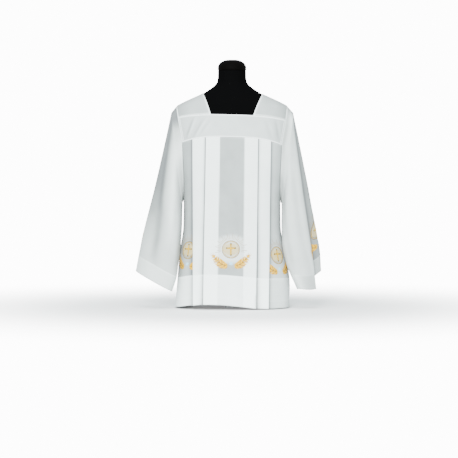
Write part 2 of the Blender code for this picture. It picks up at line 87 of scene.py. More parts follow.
SECTION_COLUMNS = ("height", "half_width", "front", "back", "squareness")
FORM_ROWS = (
    (0.0000, 0.0900, 0.0510, 0.0570, 2.10),
    (0.0120, 0.1280, 0.0780, 0.0840, 2.20),
    (0.0350, 0.1580, 0.1030, 0.1090, 2.30),
    (0.0700, 0.1735, 0.1155, 0.1220, 2.35),
    (0.1700, 0.1750, 0.1160, 0.1220, 2.35),
    (0.2700, 0.1650, 0.1090, 0.1100, 2.35),
    (0.3600, 0.1545, 0.1030, 0.0990, 2.35),
    (0.4500, 0.1535, 0.1070, 0.1000, 2.35),
    (0.5500, 0.1660, 0.1160, 0.1120, 2.40),
    (0.6300, 0.1820, 0.1150, 0.1180, 2.50),
    (0.6900, 0.2020, 0.1080, 0.1170, 2.60),
    (0.7400, 0.2240, 0.0970, 0.1110, 2.70),
    (0.7750, 0.2290, 0.0880, 0.1040, 2.70),
    (0.7920, 0.2265, 0.0835, 0.0995, 2.70),
    (0.8040, 0.2190, 0.0805, 0.0965, 2.65),
    (0.8140, 0.2030, 0.0780, 0.0935, 2.60),
    (0.8260, 0.1790, 0.0750, 0.0900, 2.50),
    (0.8400, 0.1480, 0.0715, 0.0850, 2.35),
    (0.8540, 0.1175, 0.0680, 0.0790, 2.20),
    (0.8660, 0.0985, 0.0645, 0.0735, 2.10),
    (0.8780, 0.0810, 0.0615, 0.0680, 2.00),
    (0.8900, 0.0670, 0.0590, 0.0625, 2.00),
    (0.9020, 0.0595, 0.0570, 0.0585, 2.00),
    (0.9200, 0.0565, 0.0560, 0.0565, 2.00),
    (FORM_TOP, 0.0560, 0.0560, 0.0560, 2.00),
)
CLOTH_ROWS = (
    (0.0000, 0.2260, 0.1580, 0.1520, 2.50),
    (0.1100, 0.2175, 0.1530, 0.1480, 2.50),
    (0.2300, 0.2060, 0.1480, 0.1440, 2.50),
    (0.3300, 0.1930, 0.1440, 0.1410, 2.50),
    (0.4200, 0.1920, 0.1400, 0.1380, 2.50),
    (0.5100, 0.2000, 0.1360, 0.1350, 2.55),
    (0.5900, 0.2110, 0.1310, 0.1320, 2.60),
    (0.6500, 0.2180, 0.1240, 0.1280, 2.60),
    (0.6900, 0.2210, 0.1150, 0.1230, 2.60),
    (0.7500, 0.2280, 0.0980, 0.1130, 2.70),
    (0.7700, 0.2290, 0.0900, 0.1060, 2.70),
)


def table(columns, rows):
    """The rows as one array for each named column."""
    return dict(zip(columns, np.array(rows, float).T))


def read(rows, column, at):
    """A column on a smooth cubic curve through its rows, whose tangents are harmonic means of the slopes."""
    places, values = rows[next(iter(rows))], rows[column]
    steps = np.diff(places)
    slopes = np.diff(values) / steps
    tangents = np.concatenate([slopes[:1], np.zeros(len(slopes) - 1), slopes[-1:]])
    before, after = slopes[:-1], slopes[1:]
    same_way = before * after > 0
    tangents[1:-1][same_way] = 2 / (1 / before[same_way] + 1 / after[same_way])
    at = np.clip(at, places[0], places[-1])
    row = np.clip(np.searchsorted(places, at) - 1, 0, len(steps) - 1)
    step = steps[row]
    t = (at - places[row]) / step
    return (
        (1 + 2 * t) * (1 - t) ** 2 * values[row] + t * (1 - t) ** 2 * step * tangents[row]
        + t * t * (3 - 2 * t) * values[row + 1] - t * t * (1 - t) * step * tangents[row + 1]
    )


def smoothstep(start, end, at):
    """0 before start, 1 after end, and 3t² - 2t³ between them."""
    share = np.clip((at - start) / (end - start), 0, 1)
    return share * share * (3 - 2 * share)


def bump(at, middle, width):
    """A soft bell of height 1: e to the minus square of the distance over the width."""
    return np.exp(-(((at - middle) / width) ** 2))


def unit(vectors):
    return vectors / np.maximum(np.linalg.norm(vectors, axis=-1, keepdims=True), 1e-12)


def length_along(points):
    """The distance down a line of points, or down each column of a grid, from its first point to each."""
    return np.cumsum(np.linalg.norm(np.diff(points, axis=0, prepend=points[:1]), axis=-1), axis=0)


FORM = table(SECTION_COLUMNS, FORM_ROWS)
BODY = table(SECTION_COLUMNS, CLOTH_ROWS)
print("form", FORM_TOP, "m tall,", 2 * FORM["half_width"].max(), "m wide")

# %% [markdown]
# ## A place on the cloth
#
# A place is given by a turn and a height. Turn 0 is the wearer's left side, a quarter turn the middle of
# the front, a half turn the right side. The section gives the point, its normal carries the cloth clear of
# the form, and a level push sets one layer of a pleat in front of another.

# %% Points of the sections
def form_size(column, height):
    return read(FORM, column, height)


def cloth_size(column, height):
    """The form's size on the shoulders, the cloth's own below the chest, and a smooth blend between them."""
    resting = smoothstep(REST_FROM, REST_FULL, height)
    return resting * read(FORM, column, height) + (1 - resting) * read(BODY, column, height)


def section_point(size, turn, height):
    """x = a cos(turn)^(2/n) and y = -b sin(turn)^(2/n), each with its own sign, at this height."""
    turn, height = np.broadcast_arrays(turn, height)
    power = 2 / size("squareness", height)
    across, through = np.cos(turn), np.sin(turn)
    depth = np.where(through > 0, size("front", height), size("back", height))
    x = size("half_width", height) * np.sign(across) * np.abs(across) ** power
    y = -depth * np.sign(through) * np.abs(through) ** power
    return np.stack([x, y, height], -1)


def left_wider(x, height):
    """How much wider than the right side the cloth hangs on the left: most of it just above the hem."""
    return 1 + LEFT_WIDER * np.exp(-((height - LEFT_WIDEST) / LEFT_WIDER_REACH) ** 2) * (np.asarray(x) > 0)


def cloth_section(turn, height):
    """The cloth's section point, with X stretched on the left side."""
    point = section_point(cloth_size, turn, height)
    point[..., 0] *= left_wider(point[..., 0], point[..., 2])
    return point


def turn_at(x, height, back):
    """The turn whose section point has this X: the arc cosine of (x / a)^(n/2)."""
    share = np.clip(np.abs(x) / (cloth_size("half_width", height) * left_wider(x, height)), 0, 1)
    from_side = np.arccos(share ** (cloth_size("squareness", height) / 2))
    turn = np.where(x < 0, np.pi - from_side, from_side)
    return -turn if back else turn


def cloth_point(turn, height, out=0.0):
    """The section's point, pushed along its normal by the resting gap and level by out."""
    step = 1e-3
    round_it = cloth_section(turn + step, height) - cloth_section(turn - step, height)
    up_it = cloth_section(turn, height + step) - cloth_section(turn, height - step)
    normal = unit(np.cross(up_it, round_it))
    level = unit(normal * (1, 1, 0))
    layer = np.expand_dims(np.broadcast_to(out, normal.shape[:-1]), -1)
    return cloth_section(turn, height) + normal * (REST_GAP + WALL / 2) + level * layer


def ridge_height(x):
    """The height at which the form is as wide as this X: the shoulder's ridge."""
    heights = np.linspace(SHOULDER_WIDEST, FORM_TOP, 400)
    return np.interp(-np.abs(x), -form_size("half_width", heights), heights)


def band_top(x):
    return BAND_TOP - BAND_TOP_DROP * np.abs(x / ARM_BAND_X) ** 3 + SLANT * x


def band_foot(x):
    return BAND_FOOT - BAND_FOOT_DROP * np.abs(x / BAND_FOOT_X) ** 3 + SLANT * x


print("shoulder ridge at the neck:", round(float(ridge_height(NECK_WIDE_X)), 4))

# %% [markdown]
# ## From a grid of points to cloth
#
# Every cloth piece is a grid of points, given a wall by moving it half the cloth's thickness each way along
# its normals and closing the rim. The same grid gives the UV map: the length of thread to each point, in
# metres, so the weave keeps its true size and follows the cloth. A tone for each point goes with it as an
# attribute. It says how light the cloth looks there, from the layers that lie on each other, and it also
# holds painted shade in folds and creases, where the cloth turns away and under the arms, and a few
# painted highlights.

# %% Mesh helpers
def grid_faces(rows, columns, closed):
    """Quads between neighbouring rows and columns, joined round if the columns close on themselves."""
    last = columns if closed else columns - 1
    row, column = np.meshgrid(np.arange(rows - 1), np.arange(last), indexing="ij")
    here, beside = row * columns + column, row * columns + (column + 1) % columns
    return np.stack([here, beside, beside + columns, here + columns], -1).reshape(-1, 4)


def grid_normals(points, closed, middle):
    """The cross product of the differences down and across, turned to face away from the middle."""
    if closed:
        across = np.roll(points, -1, axis=1) - np.roll(points, 1, axis=1)
    else:
        across = np.gradient(points, axis=1)
    normals = unit(np.cross(np.gradient(points, axis=0), across))
    return normals * np.sign((normals * (points - middle)).sum())


def rim(faces, offset):
    """Quads between the open edges of the outer faces and those of the inner ones."""
    start, end = faces.ravel(), np.roll(faces, -1, axis=1).ravel()
    size = faces.max() + 1
    open_edge = ~np.isin(start * size + end, end * size + start)
    a, b = start[open_edge], end[open_edge]
    return np.stack([b, a, a + offset, b + offset], -1)


def new_mesh(name, points, faces, materials, uv=None, tone=None, slots=None, wrap=None):
    mesh = bpy.data.meshes.new(name)
    mesh.from_pydata(points.reshape(-1, 3).tolist(), [], faces if isinstance(faces, list) else faces.tolist())
    for made_of in materials:
        mesh.materials.append(made_of)
    if slots is not None:
        mesh.polygons.foreach_set("material_index", slots.astype(np.int32))
    corners = np.empty(len(mesh.loops), np.int32)
    mesh.loops.foreach_get("vertex_index", corners)
    if uv is not None:
        at_corners = uv.reshape(-1, 2)[corners]
        if wrap is not None:
            at_corners = at_corners + wrap
        mesh.uv_layers.new(name="thread").data.foreach_set("uv", at_corners.ravel().astype(np.float32))
    if tone is not None:
        mesh.attributes.new("tone", "FLOAT", "POINT").data.foreach_set(
            "value", tone.ravel().astype(np.float32))
    mesh.shade_smooth()
    mesh.update()
    thing = bpy.data.objects.new(name, mesh)
    bpy.context.scene.collection.objects.link(thing)
    return thing


def thread_lengths(points):
    """UV of each point: the length across from the middle column and the length down from the first row."""
    u = length_along(points.swapaxes(0, 1)).T
    return np.stack([u - u[:, [points.shape[1] // 2]], -length_along(points)], -1)


def cloth_piece(name, node, points, tone, made_of, middle, closed=False):
    """A wall of cloth on a grid: outer points p + n t/2, inner points p - n t/2, and a rim."""
    rows, columns = points.shape[:2]
    normals = grid_normals(points, closed, middle)
    faces = grid_faces(rows, columns, closed)
    flat = points.reshape(-1, 3)
    corner, beside, below = (flat[faces[:, k]] for k in (0, 1, 3))
    if (np.cross(beside - corner, below - corner) * normals.reshape(-1, 3)[faces[:, 0]]).sum() < 0:
        faces = faces[:, ::-1]
    walls = np.concatenate([points + normals * CLOTH / 2, points - normals * CLOTH / 2])
    count = rows * columns
    every = np.concatenate([faces, faces[:, ::-1] + count, rim(faces, count)])
    lengths = thread_lengths(points)
    uv = np.tile(lengths.reshape(-1, 2), (2, 1))
    wrap = None
    if closed:
        column = every % columns
        last = (column.max(axis=1) - column.min(axis=1) > 1)[:, None] & (column == 0)
        round_it = np.linalg.norm(points[:, 0] - points[:, -1], axis=-1)
        across_all = lengths[:, -1, 0] - lengths[:, 0, 0] + round_it
        wrap = np.stack([across_all[every % count // columns] * last, 0.0 * every], -1).reshape(-1, 2)
    thing = new_mesh(name, walls, every, [made_of], uv, np.tile(tone.ravel(), 2), wrap=wrap)
    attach(thing, "root")
    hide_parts(node)
    half_surface = sum(face.area for face in thing.data.polygons) / 2
    print(f"{name}: {len(every) * 2} triangles, {half_surface:.3f} square metres of cloth")
    return thing

# %% [markdown]
# ## Cloth, thread and jersey
#
# The cloth is a plain weave: two sets of threads a little over half a millimetre apart, which the wave
# textures draw on the thread lengths as a fine relief. The light colour is several layers of cloth, and the
# grey is one layer with the black form behind it. A third, darker colour is painted shade deep in a fold.
# The tone picks the mix, and a slow noise keeps any field from looking like paint. The embroidery thread
# has a soft shine, and its waves run along each stitch.

# %% Materials
THREAD_PITCH = 0.00056       # metres from one thread to the next
CLOTH_COLOURS = (            # painted shade deep in a fold, one thin layer over black, and many layers
    (0.122, 0.134, 0.140),
    (0.236, 0.262, 0.258),
    (0.860, 0.930, 0.915),
)
LOWEST_TONE = 0.3            # the three colours stand at tones of minus this, 0 and 1; tones below 0 are painted shade


def nodes_for(name, roughness):
    made = bpy.data.materials.new(name)
    made.use_nodes = True
    shader = made.node_tree.nodes["Principled BSDF"]
    shader.inputs["Roughness"].default_value = roughness
    return made, made.node_tree.nodes, made.node_tree.links, shader


def noise_on(nodes, links, vector, scale, detail):
    noise = nodes.new("ShaderNodeTexNoise")
    noise.inputs["Scale"].default_value = scale
    noise.inputs["Detail"].default_value = detail
    links.new(vector, noise.inputs["Vector"])
    return noise.outputs["Fac"]


def from_to(nodes, links, value, before, after, kind="LINEAR"):
    """The value, with the two numbers of before made the two of after."""
    node = nodes.new("ShaderNodeMapRange")
    node.interpolation_type = kind
    for name, amount in zip(("From Min", "From Max", "To Min", "To Max"), (*before, *after)):
        node.inputs[name].default_value = amount
    links.new(value, node.inputs["Value"])
    return node.outputs["Result"]


def spread(nodes, links, value, low, high):
    """A noise, which mostly runs from 0.3 to 0.7, spread over low to high."""
    return from_to(nodes, links, value, (0.3, 0.7), (low, high))


def colour_by(nodes, links, value, colours, middle=None):
    """The first colour at 0 and the last at 1; one between them, if there are three, at middle."""
    ramp = nodes.new("ShaderNodeValToRGB")
    if middle is not None:
        ramp.color_ramp.elements.new(middle)
    for stop, colour in zip(ramp.color_ramp.elements, colours):
        stop.color = (*colour, 1)
    links.new(value, ramp.inputs["Fac"])
    return ramp.outputs["Color"]


def thread_map(nodes):
    """The UV map of thread lengths, which every cloth and every stitch has."""
    node = nodes.new("ShaderNodeUVMap")
    node.uv_map = "thread"
    return node.outputs["UV"]


def maths(nodes, links, operation, first, second):
    node = nodes.new("ShaderNodeMath")
    node.operation = operation
    for socket, value in zip(node.inputs, (first, second)):
        if isinstance(value, (int, float)):
            socket.default_value = value
        else:
            links.new(value, socket)
    return node.outputs["Value"]


def waves(nodes, links, vector, pitch, direction):
    """Sine waves of this pitch; a wave texture of scale 1 has a period of pi / 10."""
    wave = nodes.new("ShaderNodeTexWave")
    wave.bands_direction = direction
    wave.inputs["Scale"].default_value = math.pi / 10 / pitch
    links.new(vector, wave.inputs["Vector"])
    return wave.outputs["Fac"]


def raise_by(nodes, links, shader, height, strength, distance):
    relief = nodes.new("ShaderNodeBump")
    relief.inputs["Strength"].default_value = strength
    relief.inputs["Distance"].default_value = distance
    links.new(height, relief.inputs["Height"])
    links.new(relief.outputs["Normal"], shader.inputs["Normal"])


def woven_cloth(name, warmth):
    """Thin white cloth: tone mixes painted fold shade, grey and white, threads and slubs raise it, slow noise
    varies both.
    """
    made, nodes, links, shader = nodes_for(name, 0.78)
    shader.inputs["Specular IOR Level"].default_value = 0.25
    shader.inputs["Sheen Weight"].default_value = 0.06
    thread = thread_map(nodes)
    place = nodes.new("ShaderNodeTexCoord").outputs["Object"]
    tone = nodes.new("ShaderNodeAttribute")
    tone.attribute_name = "tone"
    cloudy = spread(nodes, links, noise_on(nodes, links, place, 14, 3), -0.035, 0.035)
    slub = spread(nodes, links, noise_on(nodes, links, thread, 900, 2), -0.02, 0.02)
    varied = maths(nodes, links, "ADD", maths(nodes, links, "ADD", tone.outputs["Fac"], cloudy), slub)
    from_zero = maths(nodes, links, "ADD", varied, LOWEST_TONE)
    share = maths(nodes, links, "DIVIDE", from_zero, 1 + LOWEST_TONE)
    colours = [[c * w for c, w in zip(colour, warmth)] for colour in CLOTH_COLOURS]
    colour = colour_by(nodes, links, share, colours, LOWEST_TONE / (1 + LOWEST_TONE))
    links.new(colour, shader.inputs["Base Color"])
    warp, weft = (waves(nodes, links, thread, THREAD_PITCH, direction) for direction in "XY")
    weave = maths(nodes, links, "MAXIMUM", warp, weft)
    raise_by(nodes, links, shader, maths(nodes, links, "ADD", weave, slub), 0.35, 0.00012)
    worn = spread(nodes, links, noise_on(nodes, links, place, 40, 2), 0.72, 0.86)
    links.new(worn, shader.inputs["Roughness"])
    return made


def thread_material(name, colour, dark, roughness, pitch=0.0006):
    """Sewing and embroidery thread: two shades in waves along the stitch, and raised strands."""
    made, nodes, links, shader = nodes_for(name, roughness)
    shader.inputs["Specular IOR Level"].default_value = 0.25
    strands = waves(nodes, links, thread_map(nodes), pitch, "X")
    links.new(colour_by(nodes, links, strands, (dark, colour)), shader.inputs["Base Color"])
    raise_by(nodes, links, shader, strands, 0.5, 0.0002)
    return made


def grained_material(name, colour, roughness, scale, depth):
    """One colour with fine grain: jersey on the form, satin lacquer on its cap, paint on the post."""
    made, nodes, links, shader = nodes_for(name, roughness)
    shader.inputs["Specular IOR Level"].default_value = 0.01
    place = nodes.new("ShaderNodeTexCoord").outputs["Object"]
    grain = noise_on(nodes, links, place, scale, 2)
    colours = [[c * share for c in colour] for share in (0.7, 1.3)]
    links.new(colour_by(nodes, links, grain, colours), shader.inputs["Base Color"])
    raise_by(nodes, links, shader, grain, 0.3, depth)
    return made


body_cloth = woven_cloth("white_cloth", (1.0, 1.0, 1.0))
sleeve_cloth = woven_cloth("white_sleeve_cloth", (1.0, 0.995, 0.985))
seam_thread = thread_material("white_seam", (0.88, 0.90, 0.90), (0.70, 0.73, 0.73), 0.7, 0.0028)
gold_thread = thread_material("gold_thread", (0.58, 0.310, 0.001), (0.30, 0.130, 0.001), 0.5)
straw_thread = thread_material("straw_thread", (0.74, 0.46, 0.010), (0.54, 0.28, 0.004), 0.5)
olive_thread = thread_material("olive_gold_thread", (0.130, 0.088, 0.020), (0.075, 0.050, 0.010), 0.5)
pale_thread = thread_material("pale_gold_thread", (0.56, 0.46, 0.22), (0.42, 0.33, 0.13), 0.5)
ray_thread = thread_material("beige_thread", (0.27, 0.195, 0.10), (0.22, 0.155, 0.08), 0.6)
blue_thread = thread_material("pale_blue_thread", (0.36, 0.62, 0.76), (0.28, 0.52, 0.68), 0.5)
jersey = grained_material("black_jersey", (0.0011, 0.0011, 0.0012), 0.95, 900, 0.0003)
post_paint = grained_material("pale_post", (0.70, 0.71, 0.72), 0.5, 120, 0.0001)
lacquer = grained_material("black_cap", (0.0013, 0.0011, 0.0010), 0.60, 220, 0.0002)
THREADS = [gold_thread, straw_thread, olive_thread, pale_thread, ray_thread, blue_thread]
GOLD, STRAW, OLIVE, PALE, RAY, BLUE = range(6)
print("materials:", len(bpy.data.materials))

# %% [markdown]
# ## The dress form
#
# The form is a limbless torso in black jersey with a cap on its neck. It is a stack of the same level
# sections, finer than the solid's, so no facets show on the neck. The cap is a short rim and a low dome.

# %% Form and cap
def closed_stack(name, node, rings, made_of):
    """A closed solid through level rings with flat ends."""
    rows, columns = rings.shape[:2]
    ends = [list(range(columns))[::-1], [(rows - 1) * columns + k for k in range(columns)]]
    flat = np.linalg.norm(rings[:, :, :2], axis=-1).mean(axis=1)
    length = np.concatenate([[0], np.cumsum(np.hypot(np.diff(flat), np.diff(rings[:, 0, 2])))])
    uv = np.stack(np.broadcast_arrays(np.arange(columns)[None, :] * 0.01, length[:, None]), -1)
    thing = new_mesh(name, rings, grid_faces(rows, columns, True).tolist() + ends, [made_of], uv)
    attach(thing, "root")
    if node:
        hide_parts(node)


def round_rings(radius, height, columns):
    """Level circles, one for each radius and height."""
    radius, height = np.asarray(radius)[:, None], np.asarray(height)[:, None]
    turns = np.linspace(0, 2 * np.pi, columns, endpoint=False)
    return np.stack(np.broadcast_arrays(radius * np.cos(turns), radius * np.sin(turns), height), -1)


FORM_FOOT = 0.026            # where the jersey ends, out of sight above the hem
FORM_HEIGHTS = np.concatenate([np.linspace(FORM_FOOT, 0.07, 10), np.linspace(0.08, 0.76, 50),
                               np.linspace(0.765, 0.915, 56), np.linspace(0.92, FORM_TOP - 0.002, 6)])
FORM_TURNS = np.linspace(0, 2 * np.pi, 120, endpoint=False)[::-1]
form_rings = section_point(form_size, FORM_TURNS[None, :], FORM_HEIGHTS[:, None])
shrunk = form_rings[-1:] * (0.975, 0.975, 1) + (0, 0, 0.002)
tucked = form_rings[:1] * (0.93, 0.93, 1) - (0, 0, 0.002)
closed_stack("form_torso", "dress_form", np.concatenate([tucked, form_rings, shrunk]), jersey)

STAND_RADIUS = 0.030         # a pale post between the torso and the floor
stand_radius = STAND_RADIUS * np.array([0.97, 1.0, 1.0, 0.97])
stand_height = (0.0, 0.0008, FORM_FOOT - 0.003, FORM_FOOT - 0.0022)
closed_stack("form_post", None, round_rings(stand_radius, stand_height, 64), post_paint)

CAP_RADIUS = 0.0572
CAP_RIM = 0.0090
CAP_HEIGHT = 0.0420
rise = np.radians(np.linspace(0, 74, 22))
dome = CAP_RIM + (CAP_HEIGHT - CAP_RIM) * np.sin(rise) / np.sin(rise[-1])
cap_radius = np.concatenate([[CAP_RADIUS - 0.0010, CAP_RADIUS - 0.0002], CAP_RADIUS * np.cos(rise) ** 0.8])
cap_height = FORM_TOP + SEAM_GAP + np.concatenate([[0, 0.0010], dome])
closed_stack("form_cap", "form_neck_cap", round_rings(cap_radius, cap_height, 96), lacquer)
print("form's turns and rows:", form_rings.shape[:2])

# %% [markdown]
# ## Shoulder pieces and bands
#
# A shoulder piece is a flat strap from the front band over the ridge to the back band. Its inner edge is one
# side of the square neck. The armhole's seam gathers it slightly, so a few short puckers run in from there.
# The bands are straight strips across the chest and the back. Their ends hang in slanting creases where the
# sleeves' weight pulls them, deepest at the wearer's right in front and at the left behind.

# %% Shoulders and bands
BODY_AXIS = np.array((0.0, 0.0, 0.6))
SEAM_WIDTH = 0.0042          # the cloth folded under along a seam, which looks lighter
SHOULDER_WIDTH = 0.110


def shoulder_place(side, across, along, out=0.0):
    """x from the neck's edge to the armhole's; height falls from the ridge as 1 - cos of the way along."""
    drop = 1 - np.cos(along * np.pi / 2)
    neck_x = NECK_WIDE_X + (NECK_NARROW_X - NECK_WIDE_X) * drop
    arm_x = ARM_TOP_X + (ARM_BAND_X - ARM_TOP_X) * drop
    x = side * (neck_x + (arm_x - neck_x) * across) + NECK_SHIFT * (1 - across) * (1 - drop)
    ridge = ridge_height(x)
    height = ridge - (ridge - band_top(x) - SEAM_GAP / 2) * drop
    turn = np.where(along > 0, turn_at(x, height, True), turn_at(x, height, False))
    return cloth_point(turn, height, out)


def band_place(back, across, up, out=0.0):
    """x across the strip times its half width there; height between its two seams."""
    x = across * (BAND_FOOT_X + (ARM_BAND_X - BAND_FOOT_X) * up)
    low, high = band_foot(x) + SEAM_GAP / 2, band_top(x) - SEAM_GAP / 2
    height = low + (high - low) * up
    return cloth_point(turn_at(x, height, back), height, out)


PUCKERS = ((-0.42, 0.0011), (-0.24, 0.0013), (-0.08, 0.0009), (0.12, 0.0012), (0.30, 0.0011), (0.55, 0.0009))


def shoulder_relief(across, along):
    """Short ridges at a few places along the armhole's edge, fading inwards, and one long soft sag."""
    puckers = sum(deep * bump(along, at, 0.030) for at, deep in PUCKERS)
    sag = -0.0002 * bump(across, 0.5, 0.3)
    return puckers * smoothstep(0.70, 0.93, across) * (1 - smoothstep(0.975, 1.0, across)) + sag


across = np.sin(np.linspace(0, np.pi / 2, 60))[None, :]
along = np.linspace(-1, 1, 121)[:, None]
for name, side in (("right_shoulder", -1), ("left_shoulder", 1)):
    points = shoulder_place(side, across, along, shoulder_relief(across, along))
    from_edge = np.minimum(across, 1 - across) * SHOULDER_WIDTH
    at_armhole = smoothstep(0.97, 1, across)
    folded = (1 - smoothstep(SEAM_WIDTH * 0.6, SEAM_WIDTH, from_edge)) * (1 - 0.4 * at_armhole)
    tone = 0.07 + 0.50 * folded - 0.10 * smoothstep(0.5, 1, across)
    tone = tone + 0.06 * np.abs(along) + 0.3 * smoothstep(0.955, 0.97, np.abs(along))
    cloth = cloth_piece(name + "_cloth", name, points, tone, body_cloth, BODY_AXIS)

BAND_CREASES = (             # across and up at the foot, across and up at the head, depth, width across
    (-0.93, 0.05, -0.70, 0.95, 0.0016, 0.028),
    (-0.80, 0.00, -0.52, 0.85, 0.0013, 0.034),
    (-0.66, 0.10, -0.42, 0.75, 0.0007, 0.040),
    (0.93, 0.10, 0.80, 0.95, 0.0010, 0.030),
    (0.78, 0.05, 0.62, 0.85, 0.0006, 0.040),
)


def band_relief(across, up):
    """Slanting troughs with a low ridge beside each: bells across straight lines, fading at both ends."""
    relief = 0
    for foot_across, foot_up, head_across, head_up, depth, width in BAND_CREASES:
        way = (up - foot_up) / (head_up - foot_up)
        line = foot_across + (head_across - foot_across) * way
        fade = smoothstep(-0.1, 0.35, way) * (1 - smoothstep(0.65, 1.1, way))
        ridge = 0.8 * bump(across, line + width * 1.7, width)
        relief = relief + depth * (ridge - bump(across, line, width)) * fade
    inside = smoothstep(0, 0.12, up) * (1 - smoothstep(0.88, 1, up))
    return relief * inside * (1 - smoothstep(0.95, 1, np.abs(across)))


band_across = np.sin(np.linspace(-np.pi / 2, np.pi / 2, 241))[None, :]
band_up = np.linspace(0, 1, 61)[:, None]
for name, back, mirror in (("front_band", False, 1), ("back_band", True, -1)):
    relief = band_relief(band_across * mirror, band_up)
    points = band_place(back, band_across, band_up, relief)
    near_seam = np.minimum(band_up, 1 - band_up) * (BAND_TOP - BAND_FOOT)
    near_end = (1 - np.abs(band_across)) * BAND_FOOT_X
    folded = 1 - smoothstep(SEAM_WIDTH * 0.7, SEAM_WIDTH * 1.1, np.minimum(near_seam, near_end))
    # Painted shade in the creases' troughs and painted highlight on their ridges: relief × 110. The tone is
    # also a little darker towards the band's ends.
    tone = 0.29 + 0.42 * folded - 0.08 * smoothstep(0.6, 1, np.abs(band_across)) + relief * 110
    cloth = cloth_piece(name + "_cloth", name, points, tone, body_cloth, BODY_AXIS)

# %% [markdown]
# ## The pleated skirts
#
# Each skirt has a box pleat in the middle and a knife pleat beside it on each side. From the side seam in,
# the cloth runs under the knife pleat, folds back, comes out to the pleat's edge, runs in under the box
# pleat, folds again, and crosses the middle as the top layer. So there are three layers beside the middle
# and one in the middle and at the sides, where the black form shows through. The deep hem is doubled cloth.

# %% The skirts' surface
RING_X = -0.0044             # the middle motif's ring: its centre and the pale patch round it
RING_Z = 0.2390
PATCH_HALF = (0.078, 0.060)
EDGE_SPRING = 0.0052         # how far the pleats' edges stand forward at the hem
FOLD_SHADE = 1.15            # painted shade: how much darker the lower layer is right beside a fold
FOLD_SHADE_WIDTH = (0.0034, 0.0080)
WIDEST_STEP = 0.007          # between the columns of cloth that run in under the fold above
# Close by that fold, the columns lie this far from its edge.
BESIDE_A_FOLD = (0.0130, 0.0090, 0.0062, 0.0040, 0.0024, 0.0012, 0.0, -0.0030)

HEM_COLUMNS = ("x", "front", "back")
HEM_ROWS = (                 # the front hem is lifted in an arch beside its middle
    (-HEM_X, 0.0040, 0.0040),
    (-0.2000, 0.0070, 0.0060),
    (-0.1600, 0.0150, 0.0080),
    (-0.1070, 0.0210, 0.0110),
    (-0.0500, 0.0200, 0.0115),
    (0.0000, 0.0165, 0.0120),
    (0.0450, 0.0115, 0.0115),
    (0.0920, 0.0060, 0.0110),
    (0.1500, 0.0035, 0.0080),
    (0.2000, 0.0035, 0.0060),
    (HEM_X, 0.0110, 0.0110),
)
ARMHOLE_COLUMNS = ("up", "turn_share")
ARMHOLE_ROWS = ((0.00, 0.00), (0.17, 0.44), (0.38, 0.70), (0.71, 0.90), (1.00, 1.00))
PLEAT_COLUMNS = ("layer", "right_band", "right_hem", "left_band", "left_hem")
PLEAT_ROWS = (
    (0, -0.1045, -0.1120, 0.1045, 0.0955),
    (1, -0.1560, -0.1530, 0.1535, 0.1415),
    (2, -0.0470, -0.0580, 0.0495, 0.0435),
    (3, -0.1020, -0.1100, 0.1020, 0.0920),
)
TOP_LAYER = 4
HEM_LINE = 0.820             # share of the way down at which the turned-up hem begins
HEM_STITCH = 0.955           # and where its lower row of stitches runs
ARMHOLE = table(ARMHOLE_COLUMNS, ARMHOLE_ROWS)
PLEATS = table(PLEAT_COLUMNS, PLEAT_ROWS)
HEM = table(HEM_COLUMNS, HEM_ROWS)


def armhole_turn(height, side):
    """The skirt's edge: it closes from the band's end to the side seam, where only the seam's gap is left."""
    top = band_foot(side * BAND_FOOT_X)
    at_band = turn_at(BAND_FOOT_X, top, False)
    up = np.clip((height - UNDERARM) / (top - UNDERARM), 0, 1)
    seam = (SEAM_GAP / 2 / cloth_size("front", height)) ** (cloth_size("squareness", height) / 2)
    from_side = np.maximum(at_band * read(ARMHOLE, "turn_share", up), seam)
    return np.where(side < 0, np.pi - from_side, from_side)


def skirt_columns(panel_columns, flat_columns, middle_columns, fold_steps):
    """X at band and hem, layer, and share of the side panel, which needs no X, for each column of cloth."""
    columns = []
    for side, name in ((-1, "right"), (1, "left")):
        half = [(0, 0, 0, share) for share in np.linspace(1, 0, panel_columns + 1)[:-1]]
        folds = list(zip(PLEATS["layer"], PLEATS[name + "_band"], PLEATS[name + "_hem"]))
        for number, (layer, at_band, at_hem) in enumerate(folds):
            if number:
                before = folds[number - 1]
                stops = [before[1:], (at_band, at_hem)]
                if number == 2:
                    stops[1:1] = [tuple(x + side * away for x in folds[3][1:]) for away in BESIDE_A_FOLD]
                for start, end in zip(stops[:-1], stops[1:]):
                    distance = abs(end[0] - start[0])
                    steps = flat_columns if len(stops) == 2 else max(1, int(distance / WIDEST_STEP))
                    for share in np.linspace(0, 1, steps + 1)[1 if start is stops[0] else 0:-1]:
                        half.append((start[0] + (end[0] - start[0]) * share,
                                     start[1] + (end[1] - start[1]) * share, layer, 0))
            outward = side * (1 if number % 2 else -1)
            for angle in np.radians(np.linspace(-90, 90, fold_steps)):
                tuck = outward * (np.cos(angle) - 1)
                lift = layer + 0.5 + 0.5 * np.sin(angle)
                half.append((at_band + tuck * PLEAT_STEP_BAND, at_hem + tuck * PLEAT_STEP_HEM, lift, 0))
        for share in np.linspace(0, 1, middle_columns + 2)[1:-1]:
            half.append((folds[-1][1] * (1 - share), folds[-1][2] * (1 - share), TOP_LAYER, 0))
        columns += half if side < 0 else half[::-1]
    return np.array(columns).T


def side_of(count):
    return np.where(np.arange(count) < count / 2, -1.0, 1.0)


def fold_end(end, side, fold=0):
    """X of a fold at the band or at the hem, on the right or on the left."""
    return np.where(side < 0, PLEATS["right_" + end][fold], PLEATS["left_" + end][fold])


def fold_x(side, down, fold=0):
    """X of a fold further down: straight from the band to the hem."""
    at_band = fold_end("band", side, fold)
    return at_band + (fold_end("hem", side, fold) - at_band) * down


def pleat_step(down):
    """The distance from one layer to the next, which grows from the band to the hem."""
    return PLEAT_STEP_BAND + (PLEAT_STEP_HEM - PLEAT_STEP_BAND) * smoothstep(0, 1, down)


def skirt_top(x):
    return band_foot(x) - SEAM_GAP / 2


def hem_height(x, back):
    return read(HEM, "back" if back else "front", x)


